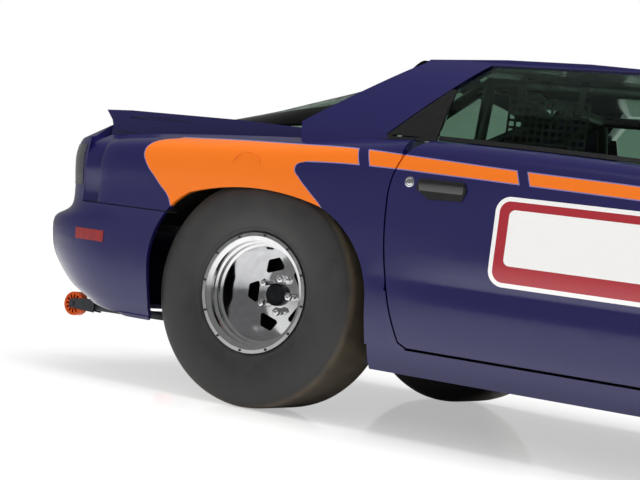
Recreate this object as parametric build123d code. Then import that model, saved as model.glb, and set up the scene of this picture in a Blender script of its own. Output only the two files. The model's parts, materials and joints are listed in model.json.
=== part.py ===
"""Full-size drag racing coupe: steel and composite panels on a tubbed floor, a caged cabin, tall slicks behind
and narrow runners in front.

Millimetres, +X forward, +Y to the car's left, +Z up. While it is modelled x is measured from the rear axle;
export moves the origin to the floor under the middle of the car's length.
"""
from build123d import *
import math
import os

# Overall layout
WHEELBASE = 2568.0
REAR_OVERHANG = 1175.0
FRONT_OVERHANG = 1169.0
HALF_WIDTH = 946.0
ROOF_TOP_Z = 1320.0
SILL_Z = 206.0
PANEL_GAP = 6.0
SEAM = 4.0
SEAM_DEPTH = 14.0
FIT = 0.3
RUNNING_FIT = 0.08

# Wheels and tyres
REAR_TYRE_R = 394.0
REAR_TYRE_SECTION = 322.0
REAR_TREAD = 268.0
REAR_RIM_WIDTH = 280.0
REAR_WHEEL_Y = 765.0
FRONT_TYRE_R = 330.0
FRONT_TYRE_SECTION = 122.0
FRONT_TREAD = 92.0
FRONT_RIM_WIDTH = 112.0
FRONT_WHEEL_Y = 775.0
RIM_FLANGE_R = 207.0
RIM_SEAT_R = 190.0
RIM_WALL = 9.0
LUG_CIRCLE_R = 60.3
LUG_COUNT = 5
REAR_DISH = 170.0
FRONT_DISH = 62.0
SPINDLE_R = 25.0

# Body wall planes and thicknesses
QUARTER_INNER_Y = 724.0
DOOR_INNER_Y = 838.0
FENDER_INNER_Y = 742.0
ROCKER_INNER_Y = 838.0
ROOF_THICKNESS = 24.0
HOOD_THICKNESS = 26.0
COVER_WALL = 16.0
GLASS_THICKNESS = 6.0
ARCH_LIP = 12.0

# Panel lines along the car
TAIL_SEAM_X = -786.0
QUARTER_FRONT_X = 520.0
QUARTER_FOOT_X = 616.0
BUMPER_SEAM_Z = 628.0
DOOR_FRONT_X = 1880.0
DOOR_BOTTOM_Z = 294.0
NOSE_SEAM_X = 3150.0
COWL_X = 2195.0
SCREEN_BASE_X = 2130.0
ROOF_REAR_X = 430.0
ROOF_FRONT_X = 1360.0
DECK_FRONT_X = -560.0
DECK_REAR_X = -986.0
FRONT_AXLE_X = WHEELBASE
TAIL_X = -REAR_OVERHANG
NOSE_X = WHEELBASE + FRONT_OVERHANG

# Underbody
FLOOR_Z = 216.0
FLOOR_THICKNESS = 18.0
TUNNEL_HALF = 175.0
TUNNEL_TOP_Z = 470.0
TRUNK_FLOOR_Z = 560.0
TUB_INNER_Y = 572.0
TUB_CLEARANCE = 30.0
FIREWALL_X = 2020.0
CAGE_TUBE_R = 20.6
WELD_BULGE = 1.4

# Wheelie bars
WHEELIE_Y = 345.0
WHEELIE_X = -1196.0
WHEELIE_Z = 214.0
WHEELIE_WHEEL_R = 48.0
WHEELIE_WHEEL_WIDTH = 36.0

# Hinges: each pin lies under the fixed panel next to the moving one
HINGE_PIN_R = 8.0
HINGE_EYE_R = 13.0
DOOR_PIN_X = DOOR_FRONT_X + 43.0
DOOR_PIN_Y = 888.0
DOOR_EDGE_SLANT = 0.6
LID_LEAD = 62.0
LID_DEPTH = 50.0
LID_GAP = 10.0
HATCH_PIN_X = ROOF_REAR_X - LID_GAP + LID_LEAD
HATCH_PIN_Z = 1242.0
HOOD_PIN_X = COWL_X - LID_LEAD
HOOD_PIN_Z = 880.0
LID_ARM_Y = 450.0
LID_ARM_WIDTH = 24.0
STEER_AXIS_Y = 640.0
KINGPIN_R = 14.0


def curve(table):
    """A smooth function through (position, value) rows, flat beyond its ends."""
    xs = [row[0] for row in table]
    ys = [row[1] for row in table]
    slopes = []
    for i in range(len(xs)):
        lo = max(i - 1, 0)
        hi = min(i + 1, len(xs) - 1)
        slopes.append((ys[hi] - ys[lo]) / (xs[hi] - xs[lo]))

    def value(x):
        if x <= xs[0]:
            return ys[0]
        if x >= xs[-1]:
            return ys[-1]
        i = max(k for k in range(len(xs) - 1) if xs[k] <= x)
        step = xs[i + 1] - xs[i]
        t = (x - xs[i]) / step
        h00 = (1 + 2 * t) * (1 - t) ** 2
        h10 = t * (1 - t) ** 2
        h01 = t * t * (3 - 2 * t)
        h11 = t * t * (t - 1)
        return h00 * ys[i] + h10 * step * slopes[i] + h01 * ys[i + 1] + h11 * step * slopes[i + 1]

    return value


def steps(low, high, count):
    """count evenly spaced values from low to high."""
    return [low + (high - low) * i / (count - 1) for i in range(count)]


# Body stations: x, belt height, shoulder run inward, shoulder drop below the belt
BODY_STATIONS = [
    (-1060.0, 872.0, 150.0, 90.0),
    (-786.0, 886.0, 150.0, 92.0),
    (-411.0, 918.0, 150.0, 96.0),
    (100.0, 948.0, 140.0, 92.0),
    (400.0, 966.0, 100.0, 80.0),
    (590.0, 974.0, 66.0, 66.0),
    (1307.0, 962.0, 62.0, 62.0),
    (1880.0, 928.0, 90.0, 66.0),
    (2200.0, 884.0, 150.0, 70.0),
    (2568.0, 822.0, 170.0, 74.0),
    (3000.0, 728.0, 170.0, 76.0),
    (3150.0, 694.0, 170.0, 76.0),
    (3400.0, 640.0, 170.0, 76.0),
]
belt_z = curve([(s[0], s[1]) for s in BODY_STATIONS])
shoulder_run = curve([(s[0], s[2]) for s in BODY_STATIONS])
shoulder_drop = curve([(s[0], s[3]) for s in BODY_STATIONS])
# Half width along the car, before the ends round off
half_width = curve([(-500.0, HALF_WIDTH), (600.0, HALF_WIDTH - 4), (1880.0, HALF_WIDTH - 14), (2700.0, HALF_WIDTH - 20)])
# How far the side stands in from that half width, by height
side_inset = curve([(206.0, 62.0), (240.0, 40.0), (290.0, 22.0), (380.0, 9.0), (460.0, 5.0),
                    (600.0, 3.0), (700.0, 0.0), (800.0, 1.0), (980.0, 10.0)])
CREASE_Z = 512.0
CREASE_DEPTH = 11.0
CREASE_HALF = 52.0
# Rearmost point of the tail by height, on the centre line
tail_x = curve([(250.0, TAIL_X + 430), (282.0, TAIL_X + 270), (310.0, TAIL_X + 186), (352.0, TAIL_X + 115),
                (395.0, TAIL_X + 64), (440.0, TAIL_X + 25), (487.0, TAIL_X + 7), (529.0, TAIL_X),
                (561.0, TAIL_X + 10), (588.0, TAIL_X + 70), (612.0, TAIL_X + 108), (650.0, TAIL_X + 116),
                (700.0, TAIL_X + 112), (758.0, TAIL_X + 100), (806.0, TAIL_X + 97), (852.0, TAIL_X + 115),
                (890.0, TAIL_X + 160)])
# Foremost point of the nose by height, on the centre line
nose_x = curve([(210.0, NOSE_X - 190), (260.0, NOSE_X - 90), (330.0, NOSE_X - 30), (420.0, NOSE_X - 4),
                (480.0, NOSE_X), (540.0, NOSE_X - 22), (600.0, NOSE_X - 90), (650.0, NOSE_X - 205),
                (694.0, NOSE_X - 337)])
REAR_ROUND_X = -500.0
FRONT_ROUND_X = 2700.0
REAR_POWER = 3.0
FRONT_POWER = 2.3


def plan_factor(x, z):
    """Share of the half width that is left at x, where the ends round off in plan."""
    if x < REAR_ROUND_X:
        share = (REAR_ROUND_X - x) / (REAR_ROUND_X - tail_x(z))
        return max(1 - share ** REAR_POWER, 0.0) ** (1 / REAR_POWER)
    if x > FRONT_ROUND_X:
        share = (x - FRONT_ROUND_X) / (nose_x(z) - FRONT_ROUND_X)
        return max(1 - share ** FRONT_POWER, 0.0) ** (1 / FRONT_POWER)
    return 1.0


def side_half(x, z):
    """Half width of the body side at a place and height, below the shoulder."""
    fade = min(max((x - 420.0) / 500.0, 0.0), 1.0)
    crease = CREASE_DEPTH * fade * math.exp(-(((z - CREASE_Z) / CREASE_HALF) ** 2) * 3)
    return (half_width(x) - side_inset(z) - crease) * plan_factor(x, z)


SIDE_ROWS_Z = [206.0, 240.0, 290.0, 350.0, 420.0, 465.0, 490.0, 512.0, 534.0, 560.0]
UPPER_ROW_SHARES = [0.3, 0.65]
SHOULDER_ANGLES = [0.0, 22.0, 42.0, 60.0, 76.0]


def side_section(x, lowest_z):
    """Points of one body-side section, from lowest_z up over the shoulder, at y > 0."""
    belt = belt_z(x)
    drop = shoulder_drop(x)
    start = belt - drop
    heights = [z for z in SIDE_ROWS_Z if lowest_z <= z]
    heights += [SIDE_ROWS_Z[-1] + (start - SIDE_ROWS_Z[-1]) * share for share in UPPER_ROW_SHARES]
    points = [(x, side_half(x, z), z) for z in heights]
    top = SHOULDER_ANGLES[-1]
    for angle in SHOULDER_ANGLES:
        rise = math.sin(math.radians(angle)) / math.sin(math.radians(top))
        turn = (1 - math.cos(math.radians(angle))) / (1 - math.cos(math.radians(top)))
        points.append((x, side_half(x, start) - shoulder_run(x) * turn, start + drop * rise))
    return points


def skin(rows):
    """A smooth face through rows of points."""
    return Face.make_surface_from_array_of_points(rows, tol=0.05, min_deg=3, max_deg=5)


def swept(face, x=0.0, y=0.0, z=0.0):
    """The solid that a face sweeps along a vector."""
    return Solid.extrude(face, Vector(x, y, z))


def box(x0, x1, y0, y1, z0, z1):
    """A block between two corners."""
    return Pos((x0 + x1) / 2, (y0 + y1) / 2, (z0 + z1) / 2) * Box(abs(x1 - x0), abs(y1 - y0), abs(z1 - z0))


def rod(start, end, radius):
    """A round bar between two points."""
    a = Vector(*start)
    b = Vector(*end)
    plane = Plane(origin=a, z_dir=b - a)
    return plane * Cylinder(radius, (b - a).length, align=(Align.CENTER, Align.CENTER, Align.MIN))


def tube_frame(paths, radius):
    """Round tubes along polylines, rounded where they meet, as one solid."""
    pieces = []
    for path in paths:
        for a, b in zip(path, path[1:]):
            pieces.append(rod(a, b, radius))
        for p in path:
            pieces.append(Pos(*p) * Sphere(radius + WELD_BULGE))
    return pieces[0].fuse(*pieces[1:])


def side_wire(points, arcs=()):
    """A closed outline in the X-Z plane. arcs maps a point's index to the mid point of the arc that follows it."""
    bends = dict(arcs)
    edges = []
    for i, p in enumerate(points):
        q = points[(i + 1) % len(points)]
        a = Vector(p[0], 0, p[1])
        b = Vector(q[0], 0, q[1])
        if i in bends:
            m = Vector(bends[i][0], 0, bends[i][1])
            edges.append(Edge.make_three_point_arc(a, m, b))
        else:
            edges.append(Edge.make_line(a, b))
    return Wire(edges)


def side_block(points, y0, y1, arcs=(), radius=0.0):
    """An outline in the X-Z plane, given depth from y0 to y1."""
    wire = side_wire(points, arcs)
    if radius:
        wire = wire.fillet_2d(radius, wire.vertices())
    face = Pos(0, y0, 0) * Face(wire)
    return swept(face, y=y1 - y0)


def plan_block(points, z0, z1, arcs=()):
    """An outline in the X-Y plane, given height from z0 to z1."""
    bends = dict(arcs)
    edges = []
    for i, p in enumerate(points):
        q = points[(i + 1) % len(points)]
        a = Vector(p[0], p[1], z0)
        b = Vector(q[0], q[1], z0)
        if i in bends:
            edges.append(Edge.make_three_point_arc(a, Vector(bends[i][0], bends[i][1], z0), b))
        else:
            edges.append(Edge.make_line(a, b))
    return swept(Face(Wire(edges)), z=z1 - z0)


def round_profile(points, axis_y=0.0):
    """A ring turned about the car's Y axis from (radius, y) points."""
    wire = Wire([Edge.make_line(Vector(a[0], a[1] + axis_y, 0), Vector(b[0], b[1] + axis_y, 0))
                 for a, b in zip(points, points[1:] + points[:1])])
    return revolve(Face(wire), axis=Axis.Y)


def mirrored(shape):
    """The same piece on the car's right side."""
    return mirror(shape, about=Plane.XZ)


def both_sides(shape):
    """A left piece and its right twin as one node of two solids."""
    return [shape, mirrored(shape)]


# Rear wheel arch: the opening in quarter panel and bumper, clockwise from the rear lower end
REAR_ARCH = [(-417.0, 120.0), (-417.0, 300.0), (-434.0, 430.0), (-289.0, 708.0), (240.0, 714.0), (453.0, 448.0),
             (475.0, 200.0), (475.0, 120.0)]
REAR_ARCH_ARCS = {2: (-400.0, 600.0), 3: (-30.0, 749.0), 4: (380.0, 612.0)}
FRONT_ARCH_R = 384.0
FRONT_ARCH_Z = 325.0
ARCH_SKIN_Y = 928.0


def drum(x, y0, y1, z, radius):
    """A cylinder lying across the car."""
    return Pos(x, (y0 + y1) / 2, z) * Rot(90, 0, 0) * Cylinder(radius, y1 - y0)


def wheel_space(x, y0, y1, z, radius):
    """The open space round a tyre, down to the floor."""
    return drum(x, y0, y1, z, radius) + box(x - radius, x + radius, y0, y1, 0, z)


# Door outline: rear edge bowed back; its front edge is cut apart, on a slant
DOOR_OUTLINE = [(541.0, 930.0), (492.0, 740.0), (518.0, 520.0), (590.0, 310.0), (622.0, DOOR_BOTTOM_Z),
                (2000.0, DOOR_BOTTOM_Z), (2000.0, 1100.0), (600.0, 1100.0), (600.0, 985.0)]
DOOR_ARCS = {0: (504.0, 855.0), 1: (498.0, 640.0), 2: (546.0, 415.0)}


def door_block(grow):
    """The door's outline as a block, grown on every side."""
    wire = side_wire(DOOR_OUTLINE, DOOR_ARCS)
    if grow:
        wire = wire.offset_2d(grow)
    return swept(Pos(0, 500, 0) * Face(wire), y=600.0)


def door_front_block(shift, forward):
    """Everything ahead of (or behind) the slanted cut between door and front fender."""
    far = 1500.0 if forward else -1500.0
    low = DOOR_FRONT_X + shift - DOOR_EDGE_SLANT * 432.0
    high = DOOR_FRONT_X + shift + DOOR_EDGE_SLANT * 168.0
    return plan_block([(low, 500.0), (high, 1100.0), (high + far, 1100.0), (high + far, 500.0)], 0.0, 1500.0)


def side_panel(x0, x1, columns, lowest_z, inner_y):
    """A wall of the lower body: the outer skin, filled in to a flat inner face."""
    rows = [side_section(x, lowest_z) for x in steps(x0, x1, columns)]
    solid = swept(skin(rows), y=-420.0)
    return solid & box(x0 - 50, x1 + 50, inner_y, 1100, 0, 1500)


# Greenhouse side: half width by height above the belt
glass_half = curve([(930.0, 862.0), (980.0, 842.0), (1080.0, 790.0), (1180.0, 724.0), (1260.0, 652.0),
                    (1300.0, 606.0)])


def greenhouse_wall(thickness, outer=0.0):
    """The whole upper side, pillars and glass alike, before outlines cut it."""
    rows = []
    for x in steps(-60.0, 2200.0, 6):
        pinch = 60.0 * max((x - 1360.0) / 840.0, 0.0) ** 2
        rows.append([(x, glass_half(z) - pinch + outer, z) for z in steps(900.0, 1300.0, 8)])
    return swept(skin(rows), y=-thickness)


# Side view outlines of the upper body
SAIL = [(92.0, 915.0), (62.0, 1000.0), (417.0, 1252.0), (440.0, 1296.0), (700.0, 1296.0), (640.0, 1238.0),
        (402.0, 985.0), (440.0, 915.0)]
QUARTER_PANE = [(410.0, 984.0), (572.0, 1154.0), (584.0, 1154.0), (584.0, 984.0)]
DOOR_PANE = [(592.0, 940.0), (592.0, 1168.0), (676.0, 1250.0), (1330.0, 1266.0), (1796.0, 1020.0), (1790.0, 910.0)]
PILLAR = [(1346.0, 1300.0), (1340.0, 1276.0), (1890.0, 985.0), (1905.0, 880.0), (2160.0, 880.0), (1440.0, 1300.0)]
RAIL = [(640.0, 1300.0), (664.0, 1259.0), (1336.0, 1275.0), (1344.0, 1300.0)]

# Roof and glass sheets: height on the centre line, half width, and fall to the edge
roof_centre_z = curve([(300.0, 1276.0), (430.0, 1296.0), (700.0, 1314.0), (1000.0, ROOF_TOP_Z), (1250.0, 1312.0),
                       (1400.0, 1294.0)])
roof_half = curve([(430.0, 640.0), (900.0, 634.0), (1360.0, 628.0)])
roof_fall = curve([(430.0, 34.0), (1360.0, 36.0)])
hatch_centre_z = curve([(-560.0, 988.0), (-314.0, 1062.0), (-50.0, 1158.0), (200.0, 1238.0), (420.0, 1292.0)])
hatch_half = curve([(-560.0, 716.0), (-100.0, 712.0), (200.0, 680.0), (420.0, 632.0)])
hatch_fall = curve([(-560.0, 44.0), (-314.0, 92.0), (-50.0, 160.0), (60.0, 172.0), (200.0, 126.0), (420.0, 44.0)])
deck_centre_z = curve([(-1030.0, 928.0), (-800.0, 962.0), (-560.0, 988.0)])
deck_half = curve([(-1030.0, 620.0), (-900.0, 690.0), (-560.0, 716.0)])
deck_fall = curve([(-1030.0, 30.0), (-560.0, 44.0)])
screen_centre_z = curve([(1366.0, 1296.0), (1700.0, 1150.0), (2130.0, 950.0)])
screen_half = curve([(1366.0, 604.0), (1700.0, 690.0), (2130.0, 790.0)])
screen_fall = curve([(1366.0, 40.0), (2130.0, 58.0)])
HOOD_CROWN = 46.0


def hood_half(x):
    return side_half(x, belt_z(x) - shoulder_drop(x)) - shoulder_run(x) - PANEL_GAP


def hood_centre_z(x):
    return belt_z(x) + HOOD_CROWN


def hood_fall(x):
    return HOOD_CROWN


def dome(x0, x1, columns, centre, half, fall, power, lift=0.0, grow=0.0):
    """A crowned sheet: centre height along x, falling towards both edges."""
    grid = []
    for x in steps(x0, x1, columns):
        line = []
        for s in steps(-1.0, 1.0, 11):
            y = s * (half(x) + grow)
            line.append((x, y, centre(x) + lift - fall(x) * abs(s) ** power))
        grid.append(line)
    return skin(grid)


# Side view of the roof's edge, which trims the tops of the pillars and rails
ROOF_EDGE = [(330.0, 1250.0), (430.0, 1266.0), (700.0, 1284.0), (1000.0, 1289.0), (1250.0, 1281.0), (1360.0, 1268.0),
             (1460.0, 1250.0), (1460.0, 1400.0), (330.0, 1400.0)]


def roof_air():
    """The space over the roof's edge."""
    return side_block(ROOF_EDGE, 500, 800)


def roof_panel():
    sheet = dome(ROOF_REAR_X, ROOF_FRONT_X, 7, roof_centre_z, roof_half, roof_fall, 2.4)
    panel = swept(sheet, z=-ROOF_THICKNESS)
    rail = (greenhouse_wall(46.0) & side_block(RAIL, 500, 800)) - roof_air()
    pin = drum(HATCH_PIN_X, LID_ARM_Y - 30, LID_ARM_Y + 30, HATCH_PIN_Z, HINGE_PIN_R)
    for y in (LID_ARM_Y - 30, LID_ARM_Y + 20):
        pin = pin + side_block([(HATCH_PIN_X - 9, HATCH_PIN_Z - 9), (HATCH_PIN_X - 9, 1275.0),
                                (HATCH_PIN_X + 60, 1275.0), (HATCH_PIN_X + 9, HATCH_PIN_Z - 9)], y, y + 10)
    side = rail + pin
    return panel + side + mirrored(side)


def lid_arm(pin_x, pin_z, forward, foot_rise):
    """A cranked lid hinge arm with an eye on its pin; forward is the way the lid lies from the pin."""
    path = [(0.0, -12.0), (-45.0, -57.0), (-128.0, -42.0), (-170.0, foot_rise), (-140.0, foot_rise),
            (-114.0, -26.0), (-50.0, -42.0), (-6.0, 10.0)]
    outline = [(pin_x - forward * p[0], pin_z + p[1]) for p in path]
    y0 = LID_ARM_Y - LID_ARM_WIDTH / 2
    y1 = LID_ARM_Y + LID_ARM_WIDTH / 2
    arm = side_block(outline, y0, y1) + drum(pin_x, y0, y1, pin_z, HINGE_EYE_R)
    return arm - drum(pin_x, y0 - 1, y1 + 1, pin_z, HINGE_PIN_R + RUNNING_FIT)


# Spoiler side views: end arm, the groove along it, and the blade's section on the centre line
SPOILER_ARM = [(-832.0, 912.0), (-846.0, 948.0), (-876.0, 983.0), (-760.0, 989.0), (-266.0, 992.0), (40.0, 985.0),
               (84.0, 970.0), (-150.0, 930.0), (-600.0, 900.0)]
SPOILER_GROOVE = [(-770.0, 962.0), (-700.0, 973.0), (-560.0, 971.0), (-470.0, 964.0), (-560.0, 960.0), (-700.0, 957.0)]
SPOILER_BLADE = [(-966.0, 916.0), (-980.0, 949.0), (-1010.0, 983.0), (-900.0, 990.0), (-750.0, 966.0),
                 (-750.0, 938.0)]
SPOILER_SWEEP = 136.0
SPOILER_ARM_INNER_Y = 662.0
SPOILER_ARM_OUTER_Y = 716.0
SPOILER_GROOVE_DEPTH = 8.0


def spoiler_sweep(y):
    """How far forward of the centre the blade lies at y."""
    return SPOILER_SWEEP * (y / SPOILER_ARM_OUTER_Y) ** 2


def spoiler_arms(grow):
    arm = side_block(SPOILER_ARM, SPOILER_ARM_INNER_Y - grow, SPOILER_ARM_OUTER_Y + 40 * (grow > 0))
    return arm, mirrored(arm)


def rear_spoiler():
    """A swept blade across the tail whose ends run forward along the hatch."""
    sections = []
    for y in steps(-700.0, 700.0, 9):
        sections.append(Pos(0, y, 0) * side_wire([(x + spoiler_sweep(y), z) for x, z in SPOILER_BLADE]))
    blade = Solid.make_loft(sections)
    groove = side_block(SPOILER_GROOVE, SPOILER_ARM_OUTER_Y - SPOILER_GROOVE_DEPTH, SPOILER_ARM_OUTER_Y + 10)
    left, right = spoiler_arms(0.0)
    return blade + (left - groove) + (right - mirrored(groove))


def hatch_sheet():
    return dome(DECK_FRONT_X, ROOF_REAR_X - LID_GAP, 11, hatch_centre_z, hatch_half, hatch_fall, 3.5)


def hatch_glass():
    left, right = spoiler_arms(2.0)
    return swept(hatch_sheet(), z=-GLASS_THICKNESS * 1.4) - left - right


def hatch_frame():
    """The ring under the hatch glass and deck, with both hinge arms."""
    ring = swept(Pos(0, 0, -GLASS_THICKNESS * 1.4 - FIT) * hatch_sheet(), z=-26.0)
    ring = ring & box(DECK_FRONT_X - 1, 352, -900, 900, 500, 1500)
    ring = ring - plan_block([(-490.0, -610.0), (-490.0, 610.0), (262.0, 575.0), (262.0, -575.0)], 700, 1400)
    for y in (SPOILER_ARM_INNER_Y, -SPOILER_ARM_INNER_Y - 200):
        ring = ring - box(-800, 90, y, y + 200, 500, 1500)
    arm = lid_arm(HATCH_PIN_X, HATCH_PIN_Z, -1, -14.0)
    return ring + (arm + mirrored(arm) - hatch_glass())


def deck_lid():
    sheet = dome(-1030.0, DECK_FRONT_X, 6, deck_centre_z, deck_half, deck_fall, 3.5)
    edge = [(DECK_REAR_X + spoiler_sweep(y), y) for y in steps(-800.0, 800.0, 9)]
    outline = plan_block(edge + [(DECK_FRONT_X + 20, 800.0), (DECK_FRONT_X + 20, -800.0)], 700, 1200)
    return (swept(sheet, z=-34.4) & outline) - rear_spoiler()


def windscreen():
    sheet = dome(1366.0, SCREEN_BASE_X, 6, screen_centre_z, screen_half, screen_fall, 2.2)
    return swept(sheet, z=-GLASS_THICKNESS * 1.2)


def hatch_space():
    """Room round the hatch, kept free in the quarter panels."""
    sheet = dome(DECK_FRONT_X - 40, ROOF_REAR_X, 9, hatch_centre_z, hatch_half, hatch_fall, 3.5, 240.0, PANEL_GAP)
    return swept(sheet, z=-350.0)


def quarter_panel(roof):
    """Rear side wall with the painted sail panel that carries the roof."""
    wall = side_panel(TAIL_SEAM_X, QUARTER_FRONT_X, 14, 206.0, QUARTER_INNER_Y)
    rows = [[(x, side_half(x, z), z) for z in steps(ROCKER_TOP_Z, 470.0, 6)]
            for x in steps(QUARTER_FRONT_X, QUARTER_FOOT_X, 4)]
    wall = wall + swept(skin(rows), y=-100.0)
    sail = (greenhouse_wall(70.0) & side_block(SAIL, 500, 1000)) - roof_air()
    wall = wall + sail
    wall = wall - door_block(PANEL_GAP / 2)
    wall = wall - side_block(REAR_ARCH, 500, 1100, REAR_ARCH_ARCS)
    wall = wall - wheel_space(0, 500, ARCH_SKIN_Y, REAR_TYRE_R, REAR_TYRE_R + TUB_CLEARANCE)
    wall = wall - box(-900, -300, 500, 1100, 0, BUMPER_SEAM_Z)
    wall = wall - box(-900, -300, 880, 1100, 0, BUMPER_SEAM_Z + SEAM)
    wall = wall - box(300, 700, 500, 1100, 0, ROCKER_TOP_Z)
    return wall - hatch_space() - roof


ROCKER_TOP_Z = 288.0
ROCKER_ROWS_Z = [SILL_Z, 222.0, 240.0, 262.0, ROCKER_TOP_Z]


def rocker_panel():
    rows = [[(x, side_half(x, z), z) for z in ROCKER_ROWS_Z] for x in steps(476.0, FRONT_AXLE_X - FRONT_ARCH_R, 6)]
    return swept(skin(rows), y=-200.0) & box(400, 2300, ROCKER_INNER_Y, 1100, SILL_Z + 1, 1500)


DOOR_HINGE_HEIGHTS = [410.0, 740.0]


def door_glass():
    return greenhouse_wall(GLASS_THICKNESS, -2.0) & side_block(DOOR_PANE, 500, 1000)


def door_arm(z):
    """A cranked door hinge arm with an eye on its pin."""
    x = DOOR_PIN_X
    y = DOOR_PIN_Y
    arm = plan_block([(x - 7, y), (x - 7, y - 35), (x - 110, y - 35), (x - 110, y - 48), (x + 7, y - 48), (x + 7, y)],
                     z - 18, z + 18)
    return arm + Pos(x, y, z) * Cylinder(HINGE_EYE_R, 36)


HANDLE = [(592.0, 812.0), (600.0, 843.0), (762.0, 845.0), (773.0, 818.0), (760.0, 784.0), (640.0, 780.0)]


def door_handle():
    """A pull flap over a finger recess."""
    return side_block(HANDLE, 918.0, 947.0, radius=8.0)


def door_panel(glass, handle):
    panel = side_panel(470.0, 1960.0, 8, 206.0, DOOR_INNER_Y)
    panel = panel & door_block(-PANEL_GAP / 2)
    panel = panel & door_front_block(-PANEL_GAP / 2, False)
    for z in DOOR_HINGE_HEIGHTS:
        panel = panel + door_arm(z)
    pin = Pos(DOOR_PIN_X, DOOR_PIN_Y, 600) * Cylinder(HINGE_PIN_R + RUNNING_FIT, 800)
    return panel - pin - glass - handle


def hood_space():
    sheet = dome(1990.0, 3300.0, 9, hood_centre_z, hood_half, hood_fall, 3.0, 60.0, PANEL_GAP)
    return swept(sheet, z=-105.0)


def front_fender():
    """Front side wall with the wheel house and the door hinge post inside it."""
    wall = side_panel(1800.0, NOSE_SEAM_X, 12, 206.0, FENDER_INNER_Y)
    wall = wall & door_front_block(PANEL_GAP / 2, True)
    wall = wall - wheel_space(FRONT_AXLE_X, 500, 1100, FRONT_ARCH_Z, FRONT_ARCH_R)
    wall = wall - box(1700, 2300, 500, 1100, 0, ROCKER_TOP_Z)
    wall = wall - hood_space()
    wall = wall - box(1700, 1990, 812, DOOR_PIN_Y + 18, 330, 850)
    return wall + Pos(DOOR_PIN_X, DOOR_PIN_Y, 590) * Cylinder(HINGE_PIN_R, 530)


def hood_front_block(shift):
    """Everything behind the bowed front edge of the hood."""
    x = NOSE_SEAM_X
    return plan_block([(1900.0, -900.0), (x + shift, -800.0), (x + shift, 800.0), (1900.0, 900.0)], 300, 1300,
                      {1: (3396.0 + shift, 0.0)})


def hood_panel():
    sheet = dome(COWL_X, 3420.0, 9, hood_centre_z, hood_half, hood_fall, 3.0)
    panel = swept(sheet, z=-HOOD_THICKNESS) & hood_front_block(0.0)
    thin = dome(COWL_X - 20, COWL_X + 70, 4, hood_centre_z, hood_half, hood_fall, 3.0, -HOOD_REAR_FLANGE, 20.0)
    panel = panel - swept(thin, z=-60.0)
    arm = lid_arm(HOOD_PIN_X, HOOD_PIN_Z, 1, 4.0)
    return panel + arm + mirrored(arm)


HOOD_REAR_FLANGE = 10.0


def cowl_panel(screen, fender):
    """The closing panel under the windscreen, with the hood hinge pins."""
    sheet = dome(2040.0, COWL_X - LID_GAP, 5, hood_centre_z, hood_half, hood_fall, 3.0)
    panel = swept(sheet, z=-44.7)
    room = box(HOOD_PIN_X - 30, COWL_X, LID_ARM_Y - 40, LID_ARM_Y + 40, 700, HOOD_PIN_Z + 20)
    pin = drum(HOOD_PIN_X, LID_ARM_Y - 45, LID_ARM_Y + 45, HOOD_PIN_Z, HINGE_PIN_R)
    return panel - room - mirrored(room) + pin + mirrored(pin) - screen - fender - mirrored(fender)


def tail_cover(lamps, markers):
    cover = wrapped(tail_point, steps(-1.22, 1.22, 29), TAIL_ROWS_Z, COVER_WALL, (1, 0, 0))
    cover = cover - side_block(REAR_ARCH, -1100, 1100, REAR_ARCH_ARCS)
    for y in (-1100, 500):
        cover = cover - box(TAIL_SEAM_X, -200, y, y + 600, BUMPER_SEAM_Z, 1000)
    for piece in lamps + markers:
        cover = cover - piece
    return cover


def tail_point(u, z, out=0.0):
    """A point of the tail: u runs -1 to 1 round the corners and goes on along the sides beyond."""
    side = 1 if u > 0 else -1
    turn = min(abs(u), 1.0) * math.pi / 2
    reach = REAR_ROUND_X - tail_x(z) + out
    x = REAR_ROUND_X - reach * max(math.cos(turn), 0.0) ** (2 / REAR_POWER)
    x += max(abs(u) - 1.0, 0.0) * 600.0
    y = (half_width(x) - side_inset(z) + out) * math.sin(turn) ** (2 / REAR_POWER)
    return (x, side * y, z)


def nose_point(u, z, out=0.0):
    """A point of the nose, laid out like the tail."""
    side = 1 if u > 0 else -1
    turn = min(abs(u), 1.0) * math.pi / 2
    reach = nose_x(z) - FRONT_ROUND_X + out
    x = FRONT_ROUND_X + reach * max(math.cos(turn), 0.0) ** (2 / FRONT_POWER)
    y = (half_width(x) - side_inset(z) + out) * math.sin(turn) ** (2 / FRONT_POWER)
    return (x, side * y, z)


TAIL_ROWS_Z = [252.0, 282.0, 310.0, 352.0, 395.0, 440.0, 487.0, 529.0, 561.0, 588.0, 612.0, 650.0, 700.0, 758.0,
               806.0, 840.0, 862.0]
NOSE_ROWS_Z = [212.0, 260.0, 330.0, 420.0, 480.0, 540.0, 600.0, 650.0, 694.0]


def wrapped(point, us, zs, wall, inward, out=0.0):
    """A shell of a wrapped end, thickened inward."""
    face = skin([[point(u, z, out) for z in zs] for u in us])
    return Solid.thicken(face, wall, normal_override=inward)


def tail_lamp():
    return wrapped(tail_point, steps(0.10, 0.745, 12), steps(690.0, 836.0, 7), 12.0, (1, -0.5, 0), 1.5)


def side_marker():
    return wrapped(tail_point, steps(0.824, 0.939, 5), steps(492.0, 532.0, 4), 8.0, (0, -1, 0), 2.0)


def front_lamp():
    return wrapped(nose_point, steps(0.24, 0.52, 7), steps(556.0, 606.0, 4), 10.0, (-1, -0.3, 0), 1.5)


def nose_cover(lamps):
    cover = wrapped(nose_point, steps(-0.9, 0.9, 21), NOSE_ROWS_Z, COVER_WALL, (-1, 0, 0))
    cover = cover - box(2000, NOSE_SEAM_X, -1100, 1100, 0, 1500)
    cover = cover - hood_front_block(6.0)
    cover = cover - box(3400, 3900, -430, 430, 270, 350)
    for piece in lamps:
        cover = cover - piece
    return cover


def windscreen_pillar(fender, cowl, screen, roof):
    pillar = (greenhouse_wall(64.0) & side_block(PILLAR, 500, 1000)) - roof_air()
    return pillar - fender - cowl - screen - roof


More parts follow.
